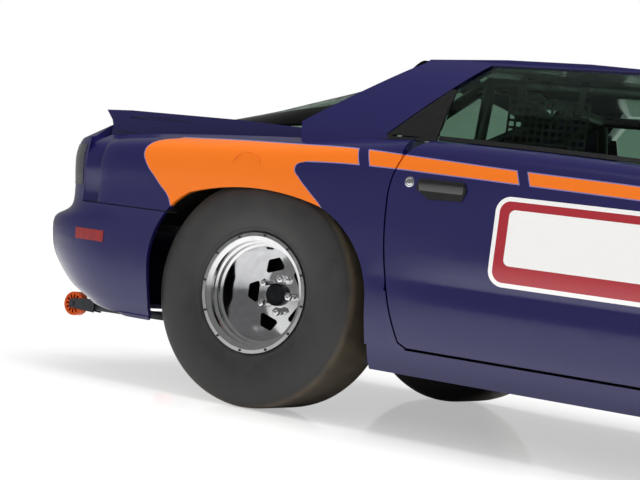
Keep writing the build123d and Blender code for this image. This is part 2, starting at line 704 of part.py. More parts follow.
def floor_pan():
    """Floor, tunnel, firewall, raised boot floor and the tubs over the rear tyres."""
    low = FLOOR_Z
    high = FLOOR_Z + FLOOR_THICKNESS
    tub_r = REAR_TYRE_R + TUB_CLEARANCE
    pan = box(tub_r + 4, FIREWALL_X, -ROCKER_INNER_Y, ROCKER_INNER_Y, low, high)
    pan = pan + box(440, FIREWALL_X, -TUNNEL_HALF, TUNNEL_HALF, low, TUNNEL_TOP_Z)
    pan = pan + box(440, 458, -TUB_INNER_Y, TUB_INNER_Y, low, TRUNK_FLOOR_Z + 18)
    pan = pan + box(FIREWALL_X - 18, FIREWALL_X, -FENDER_INNER_Y, FENDER_INNER_Y, low, 886)
    pan = pan + box(-1000, 458, -TUB_INNER_Y + 10, TUB_INNER_Y - 10, TRUNK_FLOOR_Z, TRUNK_FLOOR_Z + 18)
    pan = pan + box(TAIL_SEAM_X, -350, -QUARTER_INNER_Y, QUARTER_INNER_Y, TRUNK_FLOOR_Z, TRUNK_FLOOR_Z + 18)
    pan = pan + box(-1000, -986, -562, 562, TRUNK_FLOOR_Z, 840)
    for y0, y1 in ((TUB_INNER_Y - 10, QUARTER_INNER_Y), (-QUARTER_INNER_Y, 10 - TUB_INNER_Y)):
        pan = pan + (wheel_space(0, y0, y1, REAR_TYRE_R, tub_r + 10) - box(-600, 600, -900, 900, -200, low))
    pan = pan - wheel_space(0, TUB_INNER_Y, 900, REAR_TYRE_R, tub_r)
    pan = pan - wheel_space(0, -900, -TUB_INNER_Y, REAR_TYRE_R, tub_r)
    pan = pan - box(-60, 60, -700, 700, 100, REAR_TYRE_R + 64)
    pan = pan - box(430, 2100, 15 - TUNNEL_HALF, TUNNEL_HALF - 15, 100, TUNNEL_TOP_Z - 15)
    return pan


def tyre(radius, section, tread, rim_width):
    """A tyre about the Y axis: straight-sided slick, shoulder and bead."""
    bead = rim_width / 2 - 16.0
    half = [(RIM_SEAT_R + FIT, bead), (RIM_SEAT_R + 0.56 * (radius - RIM_SEAT_R), section / 2),
            (radius - 14.0, tread / 2 + 8.0), (radius, tread / 2 - 10.0)]
    return round_profile([(r, -y) for r, y in half] + [(r, y) for r, y in reversed(half)])


def rim(rim_width, dish, window_r, window_depth):
    """A wheel with a stepped barrel and a flat centre with rounded windows, outer side at +Y."""
    h = rim_width / 2
    barrel = [(RIM_FLANGE_R, h), (RIM_FLANGE_R, h - 9), (RIM_SEAT_R, h - 13), (RIM_SEAT_R, h - 34), (172, h - 50),
              (172, 50 - h), (RIM_SEAT_R, 34 - h), (RIM_SEAT_R, 13 - h), (RIM_FLANGE_R, 9 - h), (RIM_FLANGE_R, -h),
              (197, -h), (181, 12 - h), (181, 34 - h), (163, 52 - h), (163, h - 62), (172, h - 58), (172, h - 40),
              (180, h - 36), (180, h - 12), (195, h - 6), (195, h)]
    if rim_width < 150:
        barrel = [(RIM_FLANGE_R, h), (RIM_FLANGE_R, h - 9), (RIM_SEAT_R, h - 13), (RIM_SEAT_R, 13 - h),
                  (RIM_FLANGE_R, 9 - h), (RIM_FLANGE_R, -h), (197, -h), (178, 12 - h), (178, h - 12), (195, h - 4),
                  (195, h)]
    wheel = round_profile(barrel)
    face_y = h - dish
    edge_r = 168.0 if rim_width > 150 else 184.0
    wheel = wheel + round_profile([(40.0, face_y - 16), (edge_r, face_y - 22), (edge_r, face_y - 8), (40.0, face_y)])
    for i in range(LUG_COUNT):
        turn = 360.0 / LUG_COUNT * i + WINDOW_TURN
        window = Rot(0, turn, 0) * Pos(0, face_y - 60, window_r) * Rot(-90, 0, 0) * extrude(
            fillet(Trapezoid(WINDOW_WIDTH, window_depth, 68.0, rotation=180).vertices(), 10.0), 120.0)
        wheel = wheel - window
        nut = Rot(0, turn + 180.0 / LUG_COUNT, 0) * Pos(0, face_y + 8, LUG_CIRCLE_R)
        wheel = wheel + nut * Rot(-90, 0, 0) * Cylinder(12.5, 38.0)
    return wheel


def hub(inner_y, face_y, cap_y, bore, disc_r):
    """Hub with brake disc and outer cap, turned about the Y axis; the spindle enters from the inside."""
    return round_profile([(bore, inner_y), (60.0, inner_y), (60.0, inner_y + 12), (disc_r, inner_y + 12),
                          (disc_r, inner_y + 36), (80.0, inner_y + 36), (80.0, face_y), (39.7, face_y),
                          (39.7, cap_y - 6), (33.0, cap_y), (0.0, cap_y), (0.0, face_y - 10), (bore, face_y - 10)])


WINDOW_DEPTH = 46.0
WINDOW_WIDTH = 84.0
WINDOW_TURN = -18.0
REAR_WINDOW_R = 107.0
FRONT_WINDOW_R = 110.0
REAR_HUB_INNER_Y = 630.0
FRONT_HUB_INNER_Y = 684.0
REAR_FACE_Y = REAR_WHEEL_Y + REAR_RIM_WIDTH / 2 - REAR_DISH
FRONT_FACE_Y = FRONT_WHEEL_Y + FRONT_RIM_WIDTH / 2 - FRONT_DISH
FRONT_SPINDLE_R = 18.0
AXLE_TUBE_R = 38.0
WHEELIE_PIN_R = 8.0


def rear_axle():
    """Axle tubes, centre casing and the spindles inside the hubs."""
    z = REAR_TYRE_R
    axle = drum(0, -REAR_HUB_INNER_Y + 8, REAR_HUB_INNER_Y - 8, z, AXLE_TUBE_R)
    axle = axle + Pos(0, 0, z) * Sphere(128.0)
    axle = axle + drum(0, -REAR_FACE_Y + 40, REAR_FACE_Y - 40, z, SPINDLE_R)
    return axle - box(100, 200, -200, 200, 200, 600)


def ladder_bars():
    bars = []
    for y in (430.0, -430.0):
        bar = tube_frame([[(30.0, y, 330.0), (424.0, y, 300.0)], [(30.0, y, 458.0), (424.0, y, 300.0)]], 15.0)
        bar = bar + box(-44, 44, y - 8, y + 8, 318, 470) - drum(0, y - 20, y + 20, REAR_TYRE_R, AXLE_TUBE_R)
        bars.append(bar + box(400, 440, y - 22, y + 22, 270, 330))
    return bars


def rear_shocks():
    shocks = []
    for y in (490.0, -490.0):
        x = -AXLE_TUBE_R - 24.0
        shock = rod((x, y, 340.0), (x, y, 470.0), 24.0) + rod((x, y, 470.0), (x, y, TRUNK_FLOOR_Z), 15.0)
        shocks.append(shock - drum(0, y - 60, y + 60, REAR_TYRE_R, AXLE_TUBE_R))
    return shocks


def front_subframe():
    """Two rails with a cross member under the engine, strut towers and the radiator support."""
    frame = box(2480, 2660, -450, 450, RAIL_Z, RAIL_Z + 40)
    for side in (1, -1):
        y0, y1 = sorted((side * 380, side * 450))
        frame = frame + box(FIREWALL_X, 3300, y0, y1, RAIL_Z, RAIL_Z + 80)
        y0, y1 = sorted((side * 438, side * 450))
        frame = frame + box(2498, 2638, y0, y1, RAIL_Z, 705)
        y0, y1 = sorted((side * 438, side * 735))
        frame = frame + box(2498, 2638, y0, y1, 690, 705)
    return frame + box(3280, 3300, -600, 600, RAIL_Z, 600)


RAIL_Z = 224.0
ENGINE_TOP_Z = 735.0


def front_struts():
    """Strut tubes with the steering pins below them."""
    strut = rod((FRONT_AXLE_X, STEER_AXIS_Y, 520), (FRONT_AXLE_X, STEER_AXIS_Y, 690), 28.0)
    return both_sides(strut + rod((FRONT_AXLE_X, STEER_AXIS_Y, 202), (FRONT_AXLE_X, STEER_AXIS_Y, 522), KINGPIN_R))


def front_control_arms():
    arm = plan_block([(2420.0, 400.0), (2420.0, 440.0), (FRONT_AXLE_X - 24, STEER_AXIS_Y + 24),
                      (FRONT_AXLE_X + 24, STEER_AXIS_Y + 24), (2716.0, 440.0), (2716.0, 400.0), (2660.0, 400.0),
                      (FRONT_AXLE_X, 560.0), (2476.0, 400.0)], RAIL_Z - 20, RAIL_Z)
    return both_sides(arm - Pos(FRONT_AXLE_X, STEER_AXIS_Y, RAIL_Z) * Cylinder(KINGPIN_R, 200))


def knuckle():
    """Left steering knuckle: upright on its pin, steering arm and wheel spindle."""
    x = FRONT_AXLE_X
    upright = box(x - 30, x + 30, STEER_AXIS_Y - 24, STEER_AXIS_Y + 34, 262, 500)
    upright = upright + box(x - 130, x, STEER_AXIS_Y - 20, STEER_AXIS_Y + 4, 280, 304)
    upright = upright + drum(x, STEER_AXIS_Y + 20, FRONT_FACE_Y - 30, FRONT_TYRE_R, FRONT_SPINDLE_R)
    return upright - Pos(x, STEER_AXIS_Y, 380) * Cylinder(KINGPIN_R + RUNNING_FIT, 400)


def exhaust_pipes():
    paths = [[(2440, 312.5, 330), (2380, 312.5, 262), (2270, 300, 184), (1480, 300, 184), (1420, 330, 184)]]
    return both_sides(tube_frame(paths, 30.0))


def roll_cage():
    """Main hoop, front legs beside the pillars, door bars and rear stays."""
    paths = []
    for s in (1, -1):
        paths.append([(640, s * 610, 234), (622, s * 610, 860), (602, s * 520, 1212), (602, 0, 1216)])
        paths.append([(602, s * 520, 1212), (1320, s * 520, 1216), (1840, s * 676, 940), (1940, s * 690, 234)])
        paths.append([(630, s * 610, 540), (1930, s * 689, 400)])
        paths.append([(602, s * 520, 1212), (-260, s * 520, 578)])
        paths.append([(622, s * 610, 860), (622, 0, 860)])
    cage = tube_frame(paths, CAGE_TUBE_R)
    cage = cage - box(400, 2100, -900, 900, 0, FLOOR_Z + FLOOR_THICKNESS)
    return cage - box(-600, 440, -900, 900, 0, TRUNK_FLOOR_Z + 18)


SEAT_Y = 392.0
SEAT_HALF = 200.0


def driver_seat():
    """A bucket seat shell on a floor mount."""
    side = [(830.0, 300.0), (770.0, 460.0), (670.0, 1010.0), (720.0, 1030.0), (870.0, 520.0), (1300.0, 470.0),
            (1320.0, 400.0), (1300.0, 330.0)]
    shell = side_block(side, SEAT_Y - SEAT_HALF, SEAT_Y + SEAT_HALF, radius=18.0)
    hollow = side_block([(850.0, 478.0), (725.0, 1000.0), (710.0, 1100.0), (1370.0, 1100.0), (1370.0, 415.0)],
                        SEAT_Y - SEAT_HALF + 46, SEAT_Y + SEAT_HALF - 46, radius=12.0)
    mount = box(870, 1250, SEAT_Y - 150, SEAT_Y + 150, FLOOR_Z + FLOOR_THICKNESS, 335)
    return shell - hollow + mount


def dashboard():
    """Dash across the cabin with the steering column."""
    dash = side_block([(1870.0, 700.0), (1820.0, 800.0), (1840.0, 880.0), (1900.0, 905.0), (FIREWALL_X - 18, 870.0),
                       (FIREWALL_X - 18, 700.0)], -630, 630, radius=20.0)
    return dash + rod(COLUMN_FOOT, COLUMN_END, 22.0)


COLUMN_FOOT = (1960.0, SEAT_Y, 740.0)
COLUMN_END = (1600.0, SEAT_Y, 848.0)
STEERING_WHEEL_R = 165.0


def column_plane(distance):
    foot = Vector(*COLUMN_FOOT)
    end = Vector(*COLUMN_END)
    way = (end - foot).normalized()
    return Plane(origin=end + way * distance, x_dir=(0, 1, 0), z_dir=way)


def steering_wheel():
    plane = column_plane(40.0)
    wheel = plane * Torus(STEERING_WHEEL_R, 14.0)
    wheel = wheel + column_plane(RUNNING_FIT) * Cylinder(34.0, 44.0, align=(Align.CENTER, Align.CENTER, Align.MIN))
    for turn in (90.0, 210.0, 330.0):
        wheel = wheel + plane * Rot(0, 0, turn) * Pos(STEERING_WHEEL_R / 2, 0, 0) * Box(STEERING_WHEEL_R, 30, 6)
    return wheel


def wheelie_bar():
    """Lower and upper tubes from the axle to the wheel forks behind the bumper."""
    bar = rod((-900, WHEELIE_Y, 217), (-900, -WHEELIE_Y, 217), 11.0)
    for s in (1, -1):
        y = s * WHEELIE_Y
        lower = rod((WHEELIE_X + 80, y, WHEELIE_Z), (-20, y, 238), 16.0)
        upper = rod((-560, y, 270), (-20, y, 452), 14.0)
        gusset = box(-640, -500, y - 5, y + 5, 220, 296)
        bracket = box(-48, 48, y - 9, y + 9, 226, 468) - drum(0, y - 20, y + 20, REAR_TYRE_R, AXLE_TUBE_R)
        block = box(WHEELIE_X + 64, WHEELIE_X + 106, y - 22, y + 22, WHEELIE_Z - 19, WHEELIE_Z + 19)
        fork = block + drum(WHEELIE_X, y - 30, y + 30, WHEELIE_Z, WHEELIE_PIN_R)
        for off in (-26, 20):
            plate = side_block([(WHEELIE_X - 16, WHEELIE_Z - 17), (WHEELIE_X - 16, WHEELIE_Z + 17),
                                (WHEELIE_X + 60, WHEELIE_Z + 28), (WHEELIE_X + 110, WHEELIE_Z + 23),
                                (WHEELIE_X + 110, WHEELIE_Z - 23)], y + off, y + off + 6)
            fork = fork + plate
        bar = bar + lower + gusset + upper + bracket + fork
    return bar


def wheelie_wheel(y):
    """A small spoked wheel on the wheelie bar."""
    wheel = drum(0, -WHEELIE_WHEEL_WIDTH / 2, WHEELIE_WHEEL_WIDTH / 2, 0, WHEELIE_WHEEL_R)
    wheel = wheel - drum(0, -50, 50, 0, WHEELIE_PIN_R + RUNNING_FIT)
    for i in range(12):
        wheel = wheel - Rot(0, 30.0 * i, 0) * box(-4, 4, -50, 50, 20, 38)
    return Pos(WHEELIE_X, y, WHEELIE_Z) * wheel


def door_mirror():
    """A small mirror housing on the door's front corner."""
    shell = Pos(1760.0, 944.0, 1000.0) * Rot(0, 8, 12) * scale(Sphere(60.0), by=(1.15, 0.8, 0.85))
    stalk = rod((1760.0, 944.0, 985.0), (1744.0, 872.0, 920.0), 17.0)
    return shell + stalk


def quarter_pane(quarter):
    return (greenhouse_wall(10.0, -2.0) & side_block(QUARTER_PANE, 500, 1000)) - quarter


def main():
    os.makedirs("parts", exist_ok=True)
    nodes = {}
    roof = roof_panel()
    fender = front_fender()
    screen = windscreen() - fender - mirrored(fender)
    nodes["roof_panel"] = roof
    nodes["windscreen"] = screen
    nodes["hatch_glass"] = hatch_glass()
    nodes["hatch_frame"] = hatch_frame()
    nodes["deck_lid"] = deck_lid()
    nodes["rear_spoiler"] = rear_spoiler()
    quarter = quarter_panel(roof)
    nodes["quarter_panels"] = both_sides(quarter)
    nodes["quarter_windows"] = both_sides(quarter_pane(quarter))
    nodes["rocker_panels"] = both_sides(rocker_panel())
    glass = door_glass()
    handle = door_handle()
    mirror_left = door_mirror()
    door = door_panel(glass, handle) - mirror_left
    glass = glass - mirror_left
    for side in ("left", "right"):
        place = (lambda s: s) if side == "left" else mirrored
        nodes[f"door_{side}"] = place(door)
        nodes[f"door_glass_{side}"] = place(glass)
        nodes[f"door_handle_{side}"] = place(handle)
        nodes[f"door_mirror_{side}"] = place(mirror_left)
    nodes["front_fenders"] = both_sides(fender)
    nodes["hood"] = hood_panel()
    cowl = cowl_panel(screen, fender)
    nodes["cowl_panel"] = cowl
    lamps = both_sides(tail_lamp())
    markers = both_sides(side_marker())
    nodes["tail_lamps"] = lamps
    nodes["side_markers"] = markers
    nodes["tail_cover"] = tail_cover(lamps, markers)
    front_lamps = both_sides(front_lamp())
    nodes["front_lamps"] = front_lamps
    nodes["nose_cover"] = nose_cover(front_lamps)
    nodes["windscreen_pillars"] = both_sides(windscreen_pillar(fender, cowl, screen, roof))
    nodes["floor_pan"] = floor_pan()
    nodes["front_subframe"] = front_subframe()
    nodes["engine_block"] = box(2230, 2830, -280, 280, RAIL_Z + 40, ENGINE_TOP_Z)
    nodes["drive_line"] = rod((1450, 0, 335), (2230, 0, 335), 115.0) + rod((99.5, 0, 394), (1452, 0, 335), 38.0)
    nodes["rear_axle"] = rear_axle() - nodes["drive_line"]
    nodes["ladder_bars"] = ladder_bars()
    nodes["rear_shocks"] = rear_shocks()
    nodes["front_struts"] = front_struts()
    nodes["front_control_arms"] = front_control_arms()
    nodes["exhaust_pipes"] = exhaust_pipes()
    nodes["roll_cage"] = roll_cage()
    nodes["driver_seat"] = driver_seat()
    nodes["dashboard"] = dashboard()
    nodes["steering_wheel"] = steering_wheel()
    nodes["wheelie_bar"] = wheelie_bar()
    rear_tyre = tyre(REAR_TYRE_R, REAR_TYRE_SECTION, REAR_TREAD, REAR_RIM_WIDTH)
    front_tyre = tyre(FRONT_TYRE_R, FRONT_TYRE_SECTION, FRONT_TREAD, FRONT_RIM_WIDTH)
    rear_rim = rim(REAR_RIM_WIDTH, REAR_DISH, REAR_WINDOW_R, WINDOW_DEPTH)
    front_rim = rim(FRONT_RIM_WIDTH, FRONT_DISH, FRONT_WINDOW_R, WINDOW_DEPTH)
    rear_hub = hub(REAR_HUB_INNER_Y, REAR_FACE_Y - 19 - FIT, REAR_FACE_Y + 26, SPINDLE_R + RUNNING_FIT, 150.0)
    front_hub = hub(FRONT_HUB_INNER_Y, FRONT_FACE_Y - 19 - FIT, FRONT_FACE_Y + 30, FRONT_SPINDLE_R + RUNNING_FIT, 135.0)
    left_knuckle = knuckle()
    for side in ("left", "right"):
        place = (lambda s: s) if side == "left" else mirrored
        at_rear = Pos(0, REAR_WHEEL_Y, REAR_TYRE_R)
        at_front = Pos(FRONT_AXLE_X, FRONT_WHEEL_Y, FRONT_TYRE_R)
        nodes[f"rear_tyre_{side}"] = place(at_rear * rear_tyre)
        nodes[f"rear_rim_{side}"] = place(at_rear * rear_rim)
        nodes[f"rear_hub_{side}"] = place(Pos(0, 0, REAR_TYRE_R) * rear_hub)
        nodes[f"front_tyre_{side}"] = place(at_front * front_tyre)
        nodes[f"front_rim_{side}"] = place(at_front * front_rim)
        nodes[f"front_hub_{side}"] = place(Pos(FRONT_AXLE_X, 0, FRONT_TYRE_R) * front_hub)
        nodes[f"knuckle_{side}"] = place(left_knuckle)
        nodes[f"wheelie_wheel_{side}"] = place(wheelie_wheel(WHEELIE_Y))
    for name, shape in nodes.items():
        shapes = shape if isinstance(shape, list) else [shape]
        shapes = [Pos(SHIFT_X, 0, 0) * x for x in shapes]
        export_step(Compound(children=shapes) if len(shapes) > 1 else shapes[0], f"parts/{name}.step")
        print(name, [round(x.volume) for x in shapes], [len(x.solids()) for x in shapes])


REARMOST_X = WHEELIE_X - WHEELIE_WHEEL_R
SHIFT_X = -(REARMOST_X + NOSE_X) / 2
main()
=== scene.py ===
"""Drag racing coupe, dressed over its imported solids.

Metres, in the frame of the solids: +X forward, +Y to the car's left, +Z up from the floor.
"""
import json
import math

import bmesh
import bpy
from mathutils import Matrix, Vector


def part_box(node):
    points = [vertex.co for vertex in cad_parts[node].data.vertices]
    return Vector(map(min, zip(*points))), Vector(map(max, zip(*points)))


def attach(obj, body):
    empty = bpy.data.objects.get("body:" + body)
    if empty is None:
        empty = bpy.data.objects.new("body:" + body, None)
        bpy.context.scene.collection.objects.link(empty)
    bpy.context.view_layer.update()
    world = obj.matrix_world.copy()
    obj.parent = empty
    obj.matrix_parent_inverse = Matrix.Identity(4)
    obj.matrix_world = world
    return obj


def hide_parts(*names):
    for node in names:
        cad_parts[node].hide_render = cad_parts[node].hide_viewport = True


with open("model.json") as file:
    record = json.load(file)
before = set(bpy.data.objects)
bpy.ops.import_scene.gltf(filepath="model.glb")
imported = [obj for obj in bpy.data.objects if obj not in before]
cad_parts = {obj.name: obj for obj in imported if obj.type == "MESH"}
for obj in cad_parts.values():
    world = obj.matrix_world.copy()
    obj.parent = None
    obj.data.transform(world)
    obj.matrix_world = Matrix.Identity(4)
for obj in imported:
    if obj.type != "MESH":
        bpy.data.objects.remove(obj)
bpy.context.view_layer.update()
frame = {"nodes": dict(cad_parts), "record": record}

# The rear axle's place along the car, from the rear slick's own box
AXLE_X = sum(corner[0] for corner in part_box("rear_tyre_right")) / 2

# Camera, as the photograph was taken: low, from behind the right rear wheel, tilted to the right
CAMERA_FROM_AXLE = (3.149, -5.781, 0.618)
CAMERA_YAW = math.radians(30.83)
CAMERA_PITCH = math.radians(-0.14)
CAMERA_ROLL = math.radians(7.69)
CAMERA_LENS = 95.6
SENSOR_WIDTH = 36.0


def linear(code):
    """An sRGB hex colour as linear RGBA."""
    channels = [int(code[i:i + 2], 16) / 255 for i in (1, 3, 5)]
    return [c / 12.92 if c <= 0.04045 else ((c + 0.055) / 1.055) ** 2.4 for c in channels] + [1.0]


def add(tree, kind, inputs=(), **settings):
    """Adds a node. inputs maps a socket's name or number to a value or to a socket that feeds it."""
    made = tree.nodes.new(kind)
    for name, value in settings.items():
        setattr(made, name, value)
    for name, value in dict(inputs).items():
        if isinstance(value, bpy.types.NodeSocket):
            tree.links.new(value, made.inputs[name])
        else:
            made.inputs[name].default_value = value
    return made


def begin(name, **sockets):
    """A new material with its shader's plain sockets set; returns material, tree and shader."""
    material = bpy.data.materials.new(name)
    material.use_nodes = True
    tree = material.node_tree
    shader = tree.nodes["Principled BSDF"]
    for key, value in sockets.items():
        shader.inputs[key.replace("_", " ")].default_value = value
    return material, tree, shader


def place_camera():
    """Puts the camera where the photograph was taken from."""
    flat = Vector((-math.sin(CAMERA_YAW), math.cos(CAMERA_YAW), 0))
    ahead = flat * math.cos(CAMERA_PITCH) + Vector((0, 0, math.sin(CAMERA_PITCH)))
    right = Vector((math.cos(CAMERA_YAW), math.sin(CAMERA_YAW), 0))
    up = right.cross(ahead)
    across = right * math.cos(CAMERA_ROLL) + up * math.sin(CAMERA_ROLL)
    upright = up * math.cos(CAMERA_ROLL) - right * math.sin(CAMERA_ROLL)
    data = bpy.data.cameras.new("photo_camera")
    data.lens = CAMERA_LENS
    data.sensor_width = SENSOR_WIDTH
    camera = bpy.data.objects.new("photo_camera", data)
    turn = Matrix((across, upright, -ahead)).transposed().to_4x4()
    spot = Vector(CAMERA_FROM_AXLE) + Vector((AXLE_X, 0, 0))
    camera.matrix_world = Matrix.Translation(spot) @ turn
    bpy.context.collection.objects.link(camera)
    bpy.context.scene.camera = camera


place_camera()


def stripe_line(tree, value, rows):
    """A smooth line through (position, value) rows, both between 0 and 1, read at value."""
    line = add(tree, "ShaderNodeFloatCurve", {"Value": value})
    points = line.mapping.curves[0].points
    points[0].location = rows[0]
    points[1].location = rows[-1]
    for row in rows[1:-1]:
        points.new(*row)
    line.mapping.update()
    return line.outputs[0]


# Stripe edges, metres from the rear axle: place along the side, then height
STRIPE_START = -0.6
STRIPE_REACH = 3.4
STRIPE_TOP = [(-0.6, 0.893), (-0.355, 0.900), (-0.182, 0.908), (0.069, 0.914), (0.347, 0.919),
              (0.587, 0.911), (0.931, 0.899), (1.337, 0.890), (1.9, 0.866), (2.3, 0.832), (2.8, 0.78)]
STRIPE_BOTTOM = [(-0.6, 0.862), (0.16, 0.860), (0.235, 0.864), (0.361, 0.868), (0.740, 0.864),
                 (0.939, 0.860), (1.344, 0.852), (1.9, 0.834), (2.3, 0.812), (2.8, 0.78)]
# Edges of the broad patch over the rear wheel: height, then distance ahead of STRIPE_START
PATCH_REAR = [(0.0, 0.30), (0.671, 0.232), (0.731, 0.175), (0.801, 0.109), (0.832, 0.095), (0.862, 0.104),
              (0.884, 0.141), (0.897, 0.20), (1.0, 0.30)]
PATCH_FRONT = [(0.0, 0.95), (0.60, 0.93), (0.717, 0.841), (0.755, 0.797), (0.802, 0.745), (0.828, 0.725),
               (0.848, 0.732), (0.862, 0.77), (1.0, 0.77)]
# Breaks in the stripe: middle at its top edge, half length
STRIPE_BREAKS = [(0.372, 0.022), (0.951, 0.020)]
# How far a break leans back for each metre of height, and the width of the pin line round the orange
BREAK_SLANT = 0.34
PIN_LINE = 0.0035


def stripe_depth(tree, x, z):
    """How far inside the orange a place lies, in metres; below zero it lies outside."""
    ahead = add(tree, "ShaderNodeMath", {0: x, 1: -STRIPE_START}, operation="ADD").outputs[0]
    share = add(tree, "ShaderNodeMath", {0: ahead, 1: STRIPE_REACH}, operation="DIVIDE").outputs[0]
    top = stripe_line(tree, share, [((p - STRIPE_START) / STRIPE_REACH, h) for p, h in STRIPE_TOP])
    bottom = stripe_line(tree, share, [((p - STRIPE_START) / STRIPE_REACH, h) for p, h in STRIPE_BOTTOM])
    rear = stripe_line(tree, z, PATCH_REAR)
    front = stripe_line(tree, z, PATCH_FRONT)
    under_top = add(tree, "ShaderNodeMath", {0: top, 1: z}, operation="SUBTRACT").outputs[0]
    over_bottom = add(tree, "ShaderNodeMath", {0: z, 1: bottom}, operation="SUBTRACT").outputs[0]
    past_rear = add(tree, "ShaderNodeMath", {0: ahead, 1: rear}, operation="SUBTRACT").outputs[0]
    before_front = add(tree, "ShaderNodeMath", {0: front, 1: ahead}, operation="SUBTRACT").outputs[0]
    inside = add(tree, "ShaderNodeMath", {0: over_bottom, 1: before_front}, operation="MAXIMUM").outputs[0]
    for limit in (under_top, past_rear):
        inside = add(tree, "ShaderNodeMath", {0: inside, 1: limit}, operation="MINIMUM").outputs[0]
    lean = add(tree, "ShaderNodeMath", {0: under_top, 1: -BREAK_SLANT, 2: x},
               operation="MULTIPLY_ADD").outputs[0]
    for middle, half in STRIPE_BREAKS:
        off = add(tree, "ShaderNodeMath", {0: lean, 1: middle}, operation="SUBTRACT").outputs[0]
        off = add(tree, "ShaderNodeMath", {0: off}, operation="ABSOLUTE").outputs[0]
        off = add(tree, "ShaderNodeMath", {0: off, 1: half}, operation="SUBTRACT").outputs[0]
        inside = add(tree, "ShaderNodeMath", {0: inside, 1: off}, operation="MINIMUM").outputs[0]
    return inside


# A blank sign on each door and the pale field in it, metres from the rear axle: middle along and up, half
# length and height, corner
SIGN = (1.30, 0.676, 0.42, 0.142, 0.05)
SIGN_FIELD = (1.30, 0.690, 0.372, 0.088, 0.02)
SIGN_BORDER = 0.014


def sign_depth(tree, x, z, row):
    """How far inside a round-cornered panel a place lies, in metres."""
    reach = []
    corner = row[4]
    for value, middle, half in ((x, row[0], row[2]), (z, row[1], row[3])):
        off = add(tree, "ShaderNodeMath", {0: value, 1: middle}, operation="SUBTRACT").outputs[0]
        off = add(tree, "ShaderNodeMath", {0: off}, operation="ABSOLUTE").outputs[0]
        off = add(tree, "ShaderNodeMath", {0: off, 1: half - corner}, operation="SUBTRACT").outputs[0]
        reach.append(add(tree, "ShaderNodeMath", {0: off, 1: 0.0}, operation="MAXIMUM").outputs[0])
    outside = add(tree, "ShaderNodeCombineXYZ", {0: reach[0], 1: reach[1]}).outputs[0]
    away = add(tree, "ShaderNodeVectorMath", {0: outside}, operation="LENGTH").outputs["Value"]
    return add(tree, "ShaderNodeMath", {0: corner, 1: away}, operation="SUBTRACT").outputs[0]


# Wheel arches, whose inner faces carry painted shade: wheel's place, reach to either side, half width where
# the inner faces start, top, metres
ARCH_SHADE_ZONES = [(0.0, 0.445, 0.928, 0.80), (2.568, 0.38, 0.86, 0.70)]


def painted_over(tree, under, colour, depth, edge):
    """The colour laid over what is under it, wherever depth is more than edge."""
    mask = add(tree, "ShaderNodeMath", {0: depth, 1: edge}, operation="GREATER_THAN").outputs[0]
    mixed = add(tree, "ShaderNodeMix", {0: mask, 6: under, 7: linear(colour)}, data_type="RGBA")
    return mixed.outputs[2]


def enamel(name, striped=False, sign=False):
    """Sprayed two-coat enamel: blue-violet base with fine flake under a wet, slightly rippled clear coat."""
    material, tree, shader = begin(name, Metallic=0.2, Roughness=0.36, Coat_Weight=0.8, Coat_Roughness=0.04)
    place = add(tree, "ShaderNodeTexCoord").outputs["Object"]
    axes = add(tree, "ShaderNodeSeparateXYZ", {0: place})
    # Flake is about 0.1 mm; it is drawn at 2 mm so that it shows at all
    flake = add(tree, "ShaderNodeTexNoise", {"Vector": place, "Scale": 500.0, "Detail": 1.0})
    tone = add(tree, "ShaderNodeMix", {0: flake.outputs[0], 6: linear("#0c0a3c"), 7: linear("#18135a")},
               data_type="RGBA").outputs[2]
    if striped:
        x = add(tree, "ShaderNodeMath", {0: axes.outputs[0], 1: AXLE_X}, operation="SUBTRACT").outputs[0]
        z = axes.outputs[2]
        depth = stripe_depth(tree, x, z)
        tone = painted_over(tree, tone, "#7d76a8", depth, -PIN_LINE)
        tone = painted_over(tree, tone, "#ee7404", depth, 0.0)
        if sign:
            panel = sign_depth(tree, x, z, SIGN)
            field = sign_depth(tree, x, z, SIGN_FIELD)
            tone = painted_over(tree, tone, "#efeeec", panel, 0.0)
            tone = painted_over(tree, tone, "#a3202c", panel, SIGN_BORDER)
            tone = painted_over(tree, tone, "#efeeec", field, 0.0)
        across = add(tree, "ShaderNodeMath", {0: axes.outputs[1]}, operation="ABSOLUTE").outputs[0]
        for wheel, reach, depth_y, top in ARCH_SHADE_ZONES:
            off = add(tree, "ShaderNodeMath", {0: x, 1: wheel}, operation="SUBTRACT").outputs[0]
            off = add(tree, "ShaderNodeMath", {0: off}, operation="ABSOLUTE").outputs[0]
            arch_shade = add(tree, "ShaderNodeMath", {0: reach, 1: off}, operation="SUBTRACT").outputs[0]
            for value, limit in ((across, depth_y), (z, top)):
                inside = add(tree, "ShaderNodeMath", {0: limit, 1: value}, operation="SUBTRACT").outputs[0]
                arch_shade = add(tree, "ShaderNodeMath", {0: arch_shade, 1: inside}, operation="MINIMUM").outputs[0]
            # Painted shade: the panels' faces inside the wheel arches are painted near-black
            tone = painted_over(tree, tone, "#0a0a0b", arch_shade, 0.0)
    tree.links.new(tone, shader.inputs["Base Color"])
    # Sprayed coats dry with a ripple about 6 mm long
    ripple = add(tree, "ShaderNodeTexNoise", {"Vector": place, "Scale": 160.0, "Detail": 1.0})
    bump = add(tree, "ShaderNodeBump", {"Strength": 0.02, "Distance": 0.001, "Height": ripple.outputs[0]})
    tree.links.new(bump.outputs[0], shader.inputs["Coat Normal"])
    return material


# The part of a noise's range over which gloss runs from its lower to its upper level
GLOSS_RANGE = (0.3, 0.7)


